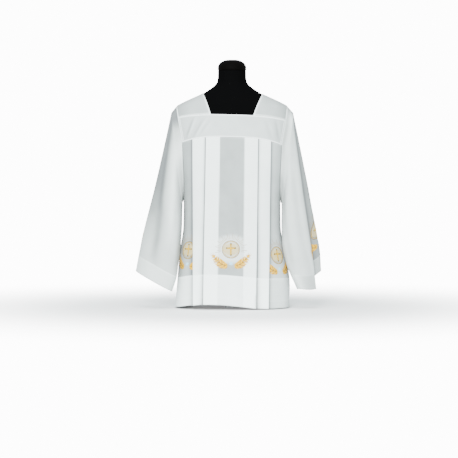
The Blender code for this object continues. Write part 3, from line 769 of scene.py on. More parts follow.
def skirt_relief(x, down, layer, side):
    """The pleats' edges stand forward towards the hem, and the whole skirt hangs in slow waves."""
    edges = 0
    for fold, first, reach in ((3, 2.4, 0.016), (1, 0.4, 0.013)):
        weight = smoothstep(first, first + 0.6, layer) * np.where(layer > first + 2.2, fold == 3, 1)
        edges = edges + weight * bump(x, fold_x(side, down, fold), reach)
    slow = 0.0022 * np.sin(x * 52 + 0.6 + 0.8 * down) + 0.0010 * np.sin(x * 97 + 2.1 - 1.5 * down)
    creases = -0.0016 * bump(x + 0.030 * down, -0.145, 0.010) * bump(down, 0.62, 0.16)
    creases = creases - 0.0012 * bump(x - 0.10 * (down - 0.45), 0.020, 0.012) * bump(down, 0.50, 0.10)
    edges, slow = edges * smoothstep(0.25, 1.0, down), slow * smoothstep(0.05, 0.9, down) ** 1.5
    return edges * EDGE_SPRING + slow + creases


def skirt_surface(back, rows, columns, relief=True):
    """Down the rows and across the columns: X and height are straight between band and hem."""
    at_band, at_hem, layer, panel = columns
    side = side_of(len(layer))
    inner_band, inner_hem = fold_end("band", side), fold_end("hem", side)
    at_band = np.where(panel > 0, inner_band + (side * BAND_FOOT_X - inner_band) * panel, at_band)
    at_hem = np.where(panel > 0, inner_hem + (side * HEM_X - inner_hem) * panel, at_hem)
    down = np.asarray(rows)[:, None]
    top = skirt_top(at_band)
    height = top + (hem_height(at_hem, back) - top) * down
    x = at_band + (at_hem - at_band) * down
    inner = turn_at(fold_x(side, down), height, False)
    inner_top, edge_top = turn_at(inner_band, top, False), armhole_turn(top, side)
    share = (turn_at(at_band, top, False) - inner_top) / (edge_top - inner_top)
    in_panel = inner + (armhole_turn(height, side) - inner) * share
    turn = np.where(panel > 0, in_panel, turn_at(x, height, False))
    fade = np.where(panel > 0, 1 - smoothstep(0, 1, panel), 1)
    out = (layer - TOP_LAYER / 2) * pleat_step(down) * fade
    if relief:
        out = out + skirt_relief(x, down, layer, side) * np.where(panel > 0, 1 - smoothstep(0.5, 1, panel), 1)
    return cloth_point(-turn if back else turn, height, out)


def skirt_tone(points, columns, rows):
    """Grey where one layer lies over the form, white where three do, whiter in the doubled hem, painted shade
    by the folds and side seams.
    """
    at_band, at_hem, layer, panel = columns
    down = np.asarray(rows)[:, None]
    x = at_band + (at_hem - at_band) * down
    side = side_of(len(layer))
    on_left = side > 0
    knife, inner, box = (np.abs(fold_x(side, down, fold)) for fold in (1, 2, 3))
    middle = (layer >= TOP_LAYER) * (1 - smoothstep(-0.0016, 0.0016, np.abs(x) - inner))
    body = np.where(panel > 0, 0.07 + 0.12 * down + 0.12 * on_left, 0.76 - 0.72 * middle)
    near_x, near_z = (points[..., 0] - RING_X) / PATCH_HALF[0], (points[..., 2] - RING_Z) / PATCH_HALF[1]
    near = near_x ** 2 + np.abs(near_z) ** 2.4
    body = body + (0.46 - body) * middle * (1 - smoothstep(0.45, 1.15, near))
    hem = np.where(panel > 0, 0.76 - 0.28 * on_left + 0 * down, 1.04 - 0.26 * middle)
    doubled = smoothstep(HEM_LINE - 0.002, HEM_LINE + 0.002, down)
    tone = body + (hem - body) * doubled
    tone = tone + 0.12 * bump(down, HEM_LINE + 0.004, 0.0045) + 0.07 * bump(down, HEM_STITCH, 0.003)
    tone = tone + 0.10 * (1 - smoothstep(0.004, 0.009, down))
    at = np.abs(points[..., 0])
    wide = FOLD_SHADE_WIDTH[0] + (FOLD_SHADE_WIDTH[1] - FOLD_SHADE_WIDTH[0]) * down ** 2
    # Painted shade: the lower layer is darker in a narrow line right beside the box pleat's fold, and the
    # side panel beside the knife pleat's fold, widening towards the hem.
    under_box = (panel == 0) & (np.abs(layer - 2) < 0.5)
    tone = tone - FOLD_SHADE * np.exp(-np.clip(at - box - 0.8 * wide, 0, 1) / wide) * under_box
    tone = tone - 0.6 * FOLD_SHADE * np.exp(-np.clip(at - knife - 0.5 * wide, 0, 1) / wide) * (panel > 0)
    # Painted shade: the side panels grow darker towards the side seams, where they turn away.
    return tone - 0.10 * smoothstep(0.5, 1, panel)


SKIRT_COLUMNS = skirt_columns(26, 12, 28, 9)
CLOSE_ROWS = (HEM_LINE - 0.002, HEM_LINE + 0.002, 0.004, 0.009, HEM_STITCH - 0.002, HEM_STITCH + 0.002)
SKIRT_ROWS = np.sort(np.concatenate([np.linspace(0, 1, 105), CLOSE_ROWS]))
for name, back in (("front_skirt", False), ("back_skirt", True)):
    points = skirt_surface(back, SKIRT_ROWS, SKIRT_COLUMNS)
    tone = skirt_tone(points, SKIRT_COLUMNS, SKIRT_ROWS)
    cloth = cloth_piece(name + "_cloth", name, points, tone, body_cloth, BODY_AXIS)

# %% [markdown]
# ## The sleeves
#
# A sleeve starts as the armhole's ring, leaves it in the direction of the cloth there, and then follows a
# few ovals between an outer and an inner edge down to the cuff. Long folds are drawn into it along lines.
# On the left sleeve one deep fold splits the cuff: its front hangs lower than its back. The cuff is doubled.

# %% The sleeves' surface
SLEEVE_COLUMNS = ("share", "outer_x", "outer_z", "inner_x", "inner_z", "outer_y", "inner_y", "depth")
RIGHT_SLEEVE_ROWS = (
    (0.07, 0.2420, 0.7780, 0.1980, 0.3980, 0.000, -0.010, 0.0770),
    (0.25, 0.2690, 0.6540, 0.1990, 0.3350, 0.000, -0.030, 0.0820),
    (0.50, 0.3090, 0.4800, 0.2040, 0.2550, 0.000, -0.050, 0.0800),
    (0.75, 0.3520, 0.3100, 0.2130, 0.1750, 0.000, -0.065, 0.0720),
    (0.90, 0.3740, 0.2050, 0.2200, 0.1250, 0.000, -0.075, 0.0660),
    (1.00, 0.3850, 0.1460, 0.2380, 0.0690, 0.000, -0.075, 0.0640),
)
LEFT_SLEEVE_ROWS = (
    (0.07, 0.2440, 0.7780, 0.1985, 0.3980, 0.000, -0.016, 0.0770),
    (0.25, 0.2700, 0.6540, 0.1970, 0.3350, 0.006, -0.042, 0.0820),
    (0.50, 0.3050, 0.4800, 0.1995, 0.2600, 0.012, -0.064, 0.0800),
    (0.75, 0.3390, 0.3020, 0.2150, 0.1800, 0.016, -0.070, 0.0740),
    (0.90, 0.3540, 0.2150, 0.2320, 0.1360, 0.018, -0.070, 0.0700),
    (1.00, 0.3575, 0.1470, 0.2590, 0.0770, 0.018, -0.062, 0.0680),
)
# Long folds: share of the sleeve where one starts and ends, degrees round it there, metres in, degrees wide.
RIGHT_FOLDS = (
    (0.02, 0.60, 32.0, 44.0, 0.0090, 0.0070, 17.0),
    (0.45, 1.00, 66.0, 82.0, 0.0060, 0.0050, 17.0),
    (0.20, 1.00, 236.0, 232.0, 0.0080, 0.0110, 20.0),
    (0.05, 0.85, 300.0, 306.0, 0.0070, 0.0070, 17.0),
    (0.25, 0.80, 120.0, 128.0, 0.0030, 0.0035, 12.0),
    (0.04, 0.40, 58.0, 70.0, -0.0028, -0.0020, 9.0),
    (0.55, 1.05, 272.0, 268.0, 0.0045, 0.0050, 12.0),
)
LEFT_FOLDS = (
    (0.02, 1.10, 24.0, 37.0, 0.0100, 0.0260, 13.0),
    (0.30, 1.00, 118.0, 108.0, 0.0050, 0.0040, 18.0),
    (0.20, 1.00, 228.0, 236.0, 0.0080, 0.0110, 20.0),
    (0.05, 0.85, 300.0, 296.0, 0.0070, 0.0070, 17.0),
    (0.10, 0.70, 74.0, 80.0, 0.0030, 0.0022, 11.0),
    (0.50, 1.05, 352.0, 346.0, 0.0040, 0.0050, 12.0),
)
LEFT_CREASE = (              # share of the sleeve, and degrees round it where the painted shade beside the fold ends
    (0, 0.06, 0.10, 0.20, 0.30, 0.45, 0.70, 0.85, 1),
    (6, 14, 22, 34, 43, 50, 50, 44, 38),
)
HEAD_REACH = 0.03            # how far the sleeve's head carries on in the direction of the cloth it leaves
LEFT_CUFF_DROP = 0.0550
CUFF_DROP_TURNS = (36.0, 49.0, 42.0, 165.0)
CUFF_DEPTH = 0.062


def armhole_edge(side, back):
    """From the top of the shoulder down strap, band and skirt: points, directions to leave in, and gaps."""
    along = np.linspace(0, 1, 34) * (1 if back else -1)
    shoulder = shoulder_place(side, 1.0, along)
    shoulder_way = unit(shoulder - shoulder_place(side, 0.97, along))
    up = np.linspace(1, 0, 20)[1:]
    band = band_place(back, side * 1.0, up)
    band_way = unit(band - band_place(back, side * 0.97, up))
    foot, hem = band_foot(BAND_FOOT_X), HEM["front"][-1]
    rows = np.linspace(0, (foot - UNDERARM) / (foot - hem), 44)[1:]
    skirt = skirt_surface(back, rows, SKIRT_COLUMNS, relief=False)
    edge, next_to_it = (0, 1) if side < 0 else (-1, -2)
    skirt_edge = skirt[:, edge]
    onward = unit(skirt_edge - skirt[:, next_to_it])
    outward = unit(np.cross(onward, unit(np.gradient(skirt_edge, axis=0))))
    outward = outward * side * np.sign(outward[:, :1])
    square = np.linspace(0.2, 1, len(skirt_edge))[:, None] ** 0.7
    skirt_way = unit(onward * (1 - square) + outward * square)
    points = np.concatenate([shoulder, band, skirt_edge])
    sewn_gap = np.full(len(shoulder) + len(band), SEAM_GAP)
    gaps = np.concatenate([sewn_gap, SEAM_GAP + WALL * 0.75 * square[:, 0]])
    return points, np.concatenate([shoulder_way, band_way, skirt_way]), gaps[:, None]


def armhole_ring(side):
    """The whole armhole: down the front edge, round the underarm and up the back edge."""
    front, front_way, front_gap = armhole_edge(side, False)
    back, back_way, back_gap = armhole_edge(side, True)
    points = np.concatenate([front, back[-2:0:-1]])
    ways = np.concatenate([front_way, back_way[-2:0:-1]])
    ways[len(front) - 1] = (side, 0, 0)
    gaps = np.concatenate([front_gap, back_gap[-2:0:-1]])
    return points + ways * gaps, ways, len(front) - 1


def turns_round(points, underarm):
    """Degrees round the sleeve by length along the armhole: 0 at the shoulder, 180 at the underarm."""
    so_far = length_along(np.concatenate([points, points[:1]]))
    half, whole = so_far[underarm], so_far[-1]
    so_far = so_far[:-1]
    return np.where(so_far <= half, 180 * so_far / half, 180 + 180 * (so_far - half) / (whole - half))


def ring_point(side, rings, folds, drop, share, turn):
    """middle + half axis × cos(turn), pushed forward by depth × sin(turn), then drawn in at the folds."""
    edges = [np.stack([side * read(rings, edge + "_x", share), read(rings, edge + "_y", share),
                       read(rings, edge + "_z", share)], -1) for edge in ("outer", "inner")]
    middle, half = (edges[0] + edges[1]) / 2, (edges[0] - edges[1]) / 2
    angle = np.radians(turn)
    point = middle + half * np.cos(angle)[..., None]
    point[..., 1] -= read(rings, "depth", share) * np.sin(angle)
    for start, end, turn_start, turn_end, depth_start, depth_end, width in folds:
        run = np.clip((share - start) / (end - start), 0, 1)
        fade = smoothstep(start, start + 0.12, share) * (1 - smoothstep(end - 0.12, end, share))
        away = (turn - turn_start - (turn_end - turn_start) * run + 180) % 360 - 180
        deep = (depth_start + (depth_end - depth_start) * run) * fade * bump(away, 0, width)
        point = point - unit(point - middle) * deep[..., None]
    start, full, easing, end = CUFF_DROP_TURNS
    window = smoothstep(start, full, turn) * (1 - smoothstep(easing, end, turn))
    point[..., 2] -= drop * smoothstep(0.3, 1.0, share) * window
    return point


def sleeve_place(side, share, turn, out=0.0):
    """A point of the sleeve below its head, pushed out along the normal of the smooth ring surface."""
    rings, folds, drop = SLEEVES[side]
    point = ring_point(side, rings, folds, drop, share, turn)
    if np.any(out):
        down = ring_point(side, rings, folds, drop, share + 0.004, turn) - point
        round_it = ring_point(side, rings, folds, drop, share, turn + 0.5) - point
        normal = unit(np.cross(round_it, down)) * side
        point = point + normal * np.expand_dims(np.broadcast_to(out, normal.shape[:-1]), -1)
    return point


SLEEVES = {
    -1: (table(SLEEVE_COLUMNS, RIGHT_SLEEVE_ROWS), RIGHT_FOLDS, 0.0),
    1: (table(SLEEVE_COLUMNS, LEFT_SLEEVE_ROWS), LEFT_FOLDS, LEFT_CUFF_DROP),
}
SLEEVE_SHARES = np.concatenate([np.linspace(0, 0.07, 12)[:-1], np.linspace(0.07, 1, 110)])


def sleeve_surface(side):
    """The head leaves the armhole along its directions and blends into the rings by the first row."""
    edge, way, underarm = armhole_ring(side)
    turn = turns_round(edge, underarm)[None, :]
    rings, folds, drop = SLEEVES[side]
    first = rings["share"][0]
    share, turn = np.broadcast_arrays(np.maximum(SLEEVE_SHARES, first)[:, None], turn)
    point = ring_point(side, rings, folds, drop, share, turn)
    leave = np.clip(SLEEVE_SHARES / first, 0, 1)[:, None, None]
    head = edge + way * HEAD_REACH * leave * (1 - leave) ** 2
    joined = smoothstep(0, 1, leave)
    return head * (1 - joined) + point * joined, turn


def sleeve_tone(side, points, turn):
    """Painted shade on the outer strip beside the long fold, in folds and under the arm, painted highlights,
    white doubled cuff.
    """
    share = SLEEVE_SHARES[:, None]
    length = length_along(points)
    from_cuff = length[-1:] - length
    upper = 1 - smoothstep(0.40, 0.80, share)
    edge = (1 - smoothstep(2, 20, turn)) + smoothstep(345, 358, turn)
    # Painted shade on the outer strip, in the valley, near the inner edge and at the outer edge, and a
    # painted highlight on the ridge beside the valley.
    if side < 0:
        valley = 41 + 32 * smoothstep(0.05, 0.70, share)
        outer = (1 - smoothstep(valley - 14, valley + 8, turn)) * (1 - smoothstep(330, 345, turn)) * upper
        in_fold = bump(turn, valley, 12) * (1 - smoothstep(0.75, 0.95, share)) * (1 - 0.3 * upper)
        inner = bump(turn, 158, 14) * smoothstep(0.10, 0.35, share) * (1 - smoothstep(0.70, 0.90, share))
        tone = 0.28 - 0.52 * outer - 0.30 * in_fold - 0.22 * inner
        tone = tone + 0.22 * bump(turn, valley + 44, 17) * upper - 0.20 * edge
    else:
        # Painted shade on the strip outside the crease, beside the inner fold, along the armhole seam and at
        # the outer edge, and a painted highlight in front of the crease.
        crease = np.interp(share, *LEFT_CREASE)
        outer = 1 - smoothstep(crease - 5, crease + 4, turn)
        outer = outer * (0.6 + 0.4 * smoothstep(0.3, 0.9, turn / crease))
        inner = bump(turn, 132, 10) * (1 - smoothstep(0.7, 0.95, share))
        at_armhole = bump(length, 0.007, 0.008) * (1 - smoothstep(60, 120, turn))
        tone = 0.34 - 0.62 * outer - 0.16 * inner - 0.26 * at_armhole
        tone = tone + 0.14 * bump(turn, crease + 16, 10) - 0.12 * edge
    # Painted shade under the arm.
    tone = tone - 0.20 * smoothstep(165, 182, turn) * (1 - smoothstep(182, 215, turn))
    cuff = 1 - smoothstep(CUFF_DEPTH - 0.0015, CUFF_DEPTH + 0.0015, from_cuff)
    # Painted shade on the front of the left cuff; the doubled cuff also keeps part of the painted shade above
    # it.
    shaded = 0.26 * smoothstep(44, 50, turn) * (1 - smoothstep(95, 140, turn)) * (side > 0)
    tone = tone + (0.50 - shaded - 0.7 * (0.36 - tone) - tone) * cuff
    return tone + 0.12 * bump(from_cuff, CUFF_DEPTH - 0.002, 0.0022)


for name, side in (("right_sleeve", -1), ("left_sleeve", 1)):
    points, turn = sleeve_surface(side)
    middle = points.mean(axis=1, keepdims=True)
    cloth = cloth_piece(name + "_cloth", name, points, sleeve_tone(side, points, turn), sleeve_cloth, middle,
                        closed=True)

# %% [markdown]
# ## Stitches and strands
#
# Embroidery is thread laid on the cloth, so it stands a little proud of it. Two shapes make all of it: a
# strand, which is a flat tube carried along a line, and a grain, which is a small cushion of satin stitch.
# Each is worked out in the flat, in metres across and up from the motif's middle, and is then laid on the
# cloth by a function that turns such a place and a height above the cloth into a point.

# %% Strands and grains
SIDES = 8
ANGLES = np.linspace(0, 2 * np.pi, SIDES, endpoint=False)


def tube_faces(rings):
    """Quads along the tube and three to close each end of its eight sides."""
    wall = grid_faces(rings, SIDES, True)
    lid = np.array([[0, 1, 2, 7], [7, 2, 3, 6], [6, 3, 4, 5]])
    return np.concatenate([wall, lid[:, ::-1], lid + (rings - 1) * SIDES])


def volume(points, faces):
    """A sixth of the sum of corner · (corner × corner) over all triangles: negative if inside out."""
    a, b, c, d = (points[faces[:, k]] for k in range(4))
    return ((a * np.cross(b, c)).sum() + (a * np.cross(c, d)).sum()) / 6


def outward(points, faces):
    return faces if volume(points - points.mean(axis=0), faces) > 0 else faces[:, ::-1]


def local_axes(place, u, v, way_u, way_v, lift):
    """The point, the direction along the stitch, the cloth's normal, and the direction across the stitch."""
    small = 2e-4
    point = place(u, v, lift)
    along = unit(place(u + way_u * small, v + way_v * small, lift) - point)
    normal = unit(place(u, v, lift + small) - point)
    return point, along, normal, unit(np.cross(normal, along))


def strand(place, line, width, height, slot, lift=0.0002):
    """Each ring is point + across × cos × width / 2 + normal × sin × height / 2; the ends taper."""
    line = np.asarray(line, float)
    ways = unit(np.gradient(line, axis=0))
    point, _, normal, across = local_axes(place, line[:, 0], line[:, 1], ways[:, 0], ways[:, 1], lift)
    length = length_along(point)
    taper = np.minimum(1, np.sqrt(np.minimum(length, length[-1] - length) / width + 0.05))[:, None, None]
    rings = point[:, None] + taper * (across[:, None] * np.cos(ANGLES)[:, None] * width / 2
                                      + normal[:, None] * np.sin(ANGLES)[:, None] * height / 2)
    points = rings.reshape(-1, 3)
    uv = np.stack(np.broadcast_arrays(length[:, None], ANGLES * width / 4), -1)
    return points, outward(points, tube_faces(len(line))), uv.reshape(-1, 2), slot


def grains(place, rows, slot, lift=0.0002, height=0.0011, rounds=7):
    """Rows of u, v, degrees, length, width: a cushion pointed at both ends for each, all in one array."""
    u, v, degrees, long, wide = np.asarray(rows, float).T
    way = np.radians(degrees)
    point, along, normal, across = local_axes(place, u, v, np.cos(way), np.sin(way), lift)
    travel = np.linspace(-1, 1, rounds)
    girth = np.sqrt(1 - (travel * 0.985) ** 2)[:, None] ** 1.15
    ahead = travel[:, None] * long[:, None, None] / 2
    aside = np.cos(ANGLES) * wide[:, None, None] / 2
    up = girth * np.sin(ANGLES) * height / 2
    points = (point[:, None, None] + ahead[..., None] * along[:, None, None]
              + (girth * aside)[..., None] * across[:, None, None] + up[..., None] * normal[:, None, None])
    one = outward(points[0].reshape(-1, 3), tube_faces(rounds))
    count = rounds * SIDES
    faces = (one[None] + (np.arange(len(u)) * count)[:, None, None]).reshape(-1, 4)
    uv = np.stack(np.broadcast_arrays(ahead, aside), -1)
    return points.reshape(-1, 3), faces, uv.reshape(-1, 2), slot


def sewn_piece(name, parts, materials):
    """All the parts in one mesh, which rides with the cloth."""
    starts = np.cumsum([0] + [len(part[0]) for part in parts[:-1]])
    points = np.concatenate([part[0] for part in parts])
    faces = np.concatenate([part[1] + start for part, start in zip(parts, starts)])
    uv = np.concatenate([part[2] for part in parts])
    slots = np.concatenate([np.full(len(part[1]), part[3]) for part in parts])
    thing = new_mesh(name, points, faces, materials, uv, slots=slots)
    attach(thing, "root")
    return thing


def arc(radius, start, end, count, centre=(0.0, 0.0)):
    angle = np.radians(np.linspace(start, end, count))
    return np.stack([centre[0] + radius * np.cos(angle), centre[1] + radius * np.sin(angle)], -1)


print("a grain has", len(tube_faces(7)) * 2, "triangles")

# %% [markdown]
# ## The motif
#
# Church vestments often carry a ring with rays above it and two ears of wheat below. The ring here holds a
# plain cross. An ear is a bent stem with four rows of grains on it, each turned a little away from the
# stem, and a few thin awns. The motif is described once and laid on the middle and both sides of the skirts
# and on the outside of each sleeve.

# %% The motif in the flat
RING_RADIUS = 0.0342
RING_INNER = 0.0300
EAR_FOOT = (0.0130, -0.0650)
EAR_BEND = (0.0400, -0.0650)
EAR_TIP = (0.0660, -0.0290)


def ear_line(side, count):
    """A quadratic curve from foot to tip: (1-t)² foot + 2t(1-t) bend + t² tip."""
    t = np.linspace(0, 1, count)[:, None]
    foot, bend, tip = (np.array((side * x, y)) for x, y in (EAR_FOOT, EAR_BEND, EAR_TIP))
    return (1 - t) ** 2 * foot + 2 * t * (1 - t) * bend + t * t * tip


def ear(place, side):
    """The stem, its grains in four rows of two golds, and its awns."""
    stem = ear_line(side, 40)
    ways = unit(np.gradient(stem, axis=0))
    parts = [strand(place, stem, 0.0020, 0.0010, OLIVE)]
    rows, awns = {GOLD: [], STRAW: []}, []
    for number, at in enumerate(np.linspace(2, 38, 9).astype(int)):
        swell = math.sin(math.pi * (0.22 + 0.66 * number / 8))
        heading = math.degrees(math.atan2(ways[at, 1], ways[at, 0]))
        aside = np.array((-ways[at, 1], ways[at, 0]))
        for hand in (-1, 1):
            for nearness, (distance, turn) in enumerate(((0.0044, 20), (0.0118, 36))):
                where = stem[at] + aside * hand * distance * swell + ways[at] * 0.003
                thread = GOLD if (number + nearness) % 2 else STRAW
                size = 0.0090 + 0.0050 * swell, 0.0030 + 0.0029 * swell
                rows[thread].append((*where, heading + hand * turn, *size))
            tip = stem[at] + aside * hand * 0.0125 * swell + ways[at] * 0.009
            way = math.radians(heading + hand * 36)
            reach = np.linspace(0, 0.006 + 0.003 * (number % 2), 5)[:, None]
            awns.append(tip + reach * (math.cos(way), math.sin(way)))
    last = math.atan2(ways[-1, 1], ways[-1, 0])
    for turn in (-0.32, 0, 0.32):
        where = stem[-1] + ways[-1] * 0.004
        rows[GOLD if turn else STRAW].append((*where, math.degrees(last + turn), 0.013, 0.0046))
        reach = np.linspace(0.008, 0.019, 6)[:, None]
        awns.append(stem[-1] + reach * (math.cos(last + turn * 1.2), math.sin(last + turn * 1.2)))
    parts += [grains(place, rows[thread], thread) for thread in rows]
    parts += [strand(place, line, 0.0009, 0.0006, GOLD) for line in awns]
    return parts


def motif(place):
    """Ring, beads, filling, cross, rays, ears, and a small blue flower under the ring."""
    parts = [strand(place, arc(RING_RADIUS, -90, 270, 97), 0.0021, 0.0012, OLIVE),
             strand(place, arc(RING_INNER, -90, 270, 81), 0.0010, 0.0008, OLIVE)]
    bead_turns = np.linspace(0, 360, 40, endpoint=False)
    bead_places = arc((RING_RADIUS + RING_INNER) / 2 - 0.0002, 0, 351, 40)
    beads = [(*at, turn + 90, 0.0038, 0.0024) for at, turn in zip(bead_places, bead_turns)]
    parts.append(grains(place, beads, STRAW))
    for u in np.linspace(-0.0285, 0.0285, 30):
        reach = math.sqrt(RING_INNER ** 2 - u ** 2) - 0.0008
        line = np.stack([np.full(7, u), np.linspace(-reach, reach, 7)], -1)
        parts.append(strand(place, line, 0.0016, 0.0005, PALE))
    for start, end in (((0, -0.0215), (0, 0.0215)), ((-0.0160, 0.0050), (0.0160, 0.0050))):
        start, end = np.array(start), np.array(end)
        line = start + (end - start) * np.linspace(0, 1, 14)[:, None]
        parts.append(strand(place, line, 0.0066, 0.0012, OLIVE, lift=0.0005))
        parts.append(strand(place, line, 0.0040, 0.0020, STRAW, lift=0.0007))
        for tip, way in ((start, start - end), (end, end - start)):
            heading = math.degrees(math.atan2(way[1], way[0]))
            flare = [(*tip, heading + turn, 0.0085, 0.0040) for turn in (-52, 0, 52)]
            parts.append(grains(place, flare, OLIVE, lift=0.0006, height=0.0014))
    for number, turn in enumerate(np.linspace(-12, 192, 29)):
        reach = (0.0560, 0.0650, 0.0520)[number % 3]
        heading = np.array((math.cos(math.radians(turn)), math.sin(math.radians(turn))))
        parts.append(strand(place, np.linspace(0.0385, reach, 6)[:, None] * heading, 0.0014, 0.0007, RAY))
    for side in (-1, 1):
        parts += ear(place, side)
    petals = [(0.0042 * math.cos(a), -0.0550 + 0.0042 * math.sin(a), math.degrees(a), 0.0085, 0.0050)
              for a in np.radians(np.arange(90, 450, 60))]
    parts.append(grains(place, petals, BLUE))
    return parts


# %% [markdown]
# ## Laying the motif on the garment
#
# On the middle of a skirt, the place across is X and the place up is the height. Round the sides, X no
# longer measures the cloth, so the place across is a length along the level section, turned into a turn by
# a table of lengths. On a sleeve, one direction runs down the sleeve and the other round it.

# %% Placing and sewing
SIDE_RING_TURN = 0.605       # turn from the side seam at which the side motifs' rings lie
SIDE_RING_Z = {-1: 0.2330, 1: 0.2130}


def way_down(x, height, back):
    """The share of the way from the band's seam to the hem."""
    return (skirt_top(x) - height) / (skirt_top(x) - hem_height(x, back))


def on_middle(back):
    """Places on the top layer in the middle of a skirt."""
    def place(u, v, lift):
        x, height = RING_X + u, RING_Z + v
        x = -x if back else x
        down = way_down(x, height, back)
        relief = skirt_relief(x, down, np.full_like(x, TOP_LAYER), np.where(x < 0, -1.0, 1.0))
        out = TOP_LAYER / 2 * pleat_step(down) + relief + CLOTH / 2 + lift
        return cloth_point(turn_at(x, height, back), height, out)
    return place


def on_panel(side, back):
    """Places on the side panel: lengths along the section there, on the lowest layer."""
    height = SIDE_RING_Z[side]
    turns = np.linspace(-0.3, 1.9, 1200)
    line = section_point(cloth_size, turns, np.full_like(turns, height))
    lengths = length_along(line)
    start = np.interp(SIDE_RING_TURN, turns, lengths)
    inner_band, inner_hem = fold_end("band", side), fold_end("hem", side)
    panels = np.linspace(0, 1, 200)
    at_band = inner_band + (side * BAND_FOOT_X - inner_band) * panels
    top = skirt_top(at_band)
    inner_top = turn_at(inner_band, top, False)
    shares = (turn_at(at_band, top, False) - inner_top) / (armhole_turn(top, float(side)) - inner_top)

    def place(u, v, lift):
        from_side = np.interp(start + u * -side * (-1 if back else 1), lengths, turns)
        z = height + v
        turn = np.where(side < 0, np.pi - from_side, from_side)
        down, panel = way_down(np.full_like(turn, side * 0.19), z, back), 0.5 + 0 * turn
        for _ in range(3):
            inner = turn_at(fold_x(side, down), z, False)
            panel = np.interp((turn - inner) / (armhole_turn(z, float(side)) - inner), shares, panels)
            x_band = inner_band + (side * BAND_FOOT_X - inner_band) * panel
            x_hem = inner_hem + (side * HEM_X - inner_hem) * panel
            down = (skirt_top(x_band) - z) / (skirt_top(x_band) - hem_height(x_hem, back))
        x = x_band + (x_hem - x_band) * down
        relief = skirt_relief(x, down, np.zeros_like(x), np.full_like(x, side))
        layers = -TOP_LAYER / 2 * pleat_step(down) * (1 - smoothstep(0, 1, panel))
        out = layers + relief * (1 - smoothstep(0.5, 1, panel)) + CLOTH / 2 + lift
        return cloth_point(-turn if back else turn, z, out)
    return place


def on_sleeve(side, share, turn):
    """Places on the outside of a sleeve: down it by share, round it by degrees, both scaled to metres."""
    here, below, beside = sleeve_place(side, share + np.array((0, 0.02, 0)), turn + np.array((0, 0, 4.0)))
    per_share, per_degree = np.linalg.norm(below - here) / 0.02, np.linalg.norm(beside - here) / 4

    def place(u, v, lift):
        return sleeve_place(side, share - v / per_share, turn + u * side * -1 / per_degree, CLOTH / 2 + lift)
    return place


SLEEVE_MOTIF = {-1: (0.73, -44.0), 1: (0.735, 10.0)}
sewn = {}
for name, place in (("front_middle", on_middle(False)), ("back_middle", on_middle(True)),
                    ("front_right", on_panel(-1, False)), ("front_left", on_panel(1, False)),
                    ("back_right", on_panel(-1, True)), ("back_left", on_panel(1, True)),
                    ("right_sleeve", on_sleeve(-1, *SLEEVE_MOTIF[-1])),
                    ("left_sleeve", on_sleeve(1, *SLEEVE_MOTIF[1]))):
    sewn[name] = sewn_piece(name + "_embroidery", motif(place), THREADS)
print("embroidery:", {name: len(thing.data.polygons) * 2 for name, thing in sewn.items()}, "triangles")

# %% [markdown]
# ## Seams and rows of stitches
#
# The bands are edged by a narrow piped seam. A row of small stitches runs beside it, along the neck, along
# the top of each deep hem and again near its foot, and round each cuff. A seam is a strand along a line on
# the cloth. A row of stitches is a row of tiny grains at even distances along such a line.

# %% Seams
STITCH_LENGTH = 0.0026
STITCH_GAP = 0.0012
BAND_SEAMS = (0.012, 0.988)  # shares of the way up a band
BAND_STITCHES = (0.055, 0.945)
BAND_END = 0.966             # share of the way from a band's middle to its end
SHOULDER_LINES = (0.012, 0.07, 0.985)   # shares across: the neck's seam, its stitches, the armhole's seam


def as_line(points, normals):
    """Places on a line in space: u is the length along it, v does nothing, and the lift is the normal's."""
    lengths = length_along(points)

    def place(u, v, lift):
        at = np.stack([np.interp(u, lengths, points[:, k]) for k in range(3)], -1)
        out = unit(np.stack([np.interp(u, lengths, normals[:, k]) for k in range(3)], -1))
        return at + out * np.expand_dims(np.broadcast_to(lift, out.shape[:-1]), -1)
    return place, lengths[-1]


def line_of(surface):
    """The line and its normals from a surface at no push and at a small one."""
    base, raised = surface(0.0), surface(1e-3)
    return base, unit(raised - base)


def seam(points, normals, width=0.0022, height=0.0012):
    """A piped seam: one strand, half sunk into the cloth."""
    place, length = as_line(points, normals)
    count = max(12, int(length / 0.004))
    u = np.linspace(0.0005, length - 0.0005, count)
    return strand(place, np.stack([u, np.zeros(count)], -1), width, height, 0, lift=CLOTH / 2)


def stitch_row(points, normals):
    """Small grains at even distances along the line."""
    place, length = as_line(points, normals)
    u = np.arange(0.002, length - 0.002, STITCH_LENGTH + STITCH_GAP)
    rows = np.stack([u, 0 * u, 0 * u, np.full_like(u, STITCH_LENGTH), np.full_like(u, 0.0006)], -1)
    return grains(place, rows, 0, lift=CLOTH / 2 + 0.0001, height=0.0005, rounds=4)


for name, back in (("front_band", False), ("back_band", True)):
    mirror = -1 if back else 1
    wide = np.linspace(-0.999, 0.999, 160)
    rows = []
    for at in BAND_SEAMS:
        rows.append(seam(*line_of(lambda out: band_place(back, wide, at, out))))
    for at in BAND_STITCHES:
        relief = band_relief(wide * 0.965 * mirror, at)
        rows.append(stitch_row(*line_of(lambda out: band_place(back, wide * 0.965, at, out + relief))))
    tall = np.linspace(0.03, 0.97, 40)
    for end in (-1, 1):
        rows.append(seam(*line_of(lambda out: band_place(back, end * BAND_END, tall, out)), width=0.0020))
    sewn[name] = sewn_piece(name + "_seams", rows, [seam_thread])

for name, side in (("right_shoulder", -1), ("left_shoulder", 1)):
    long = np.linspace(-0.995, 0.995, 120)
    neck, beside_neck, armhole = (line_of(lambda out: shoulder_place(side, at, long, out))
                                  for at in SHOULDER_LINES)
    rows = [seam(*neck, width=0.0018, height=0.0011), stitch_row(*beside_neck), seam(*armhole, width=0.0020)]
    sewn[name] = sewn_piece(name + "_seams", rows, [seam_thread])


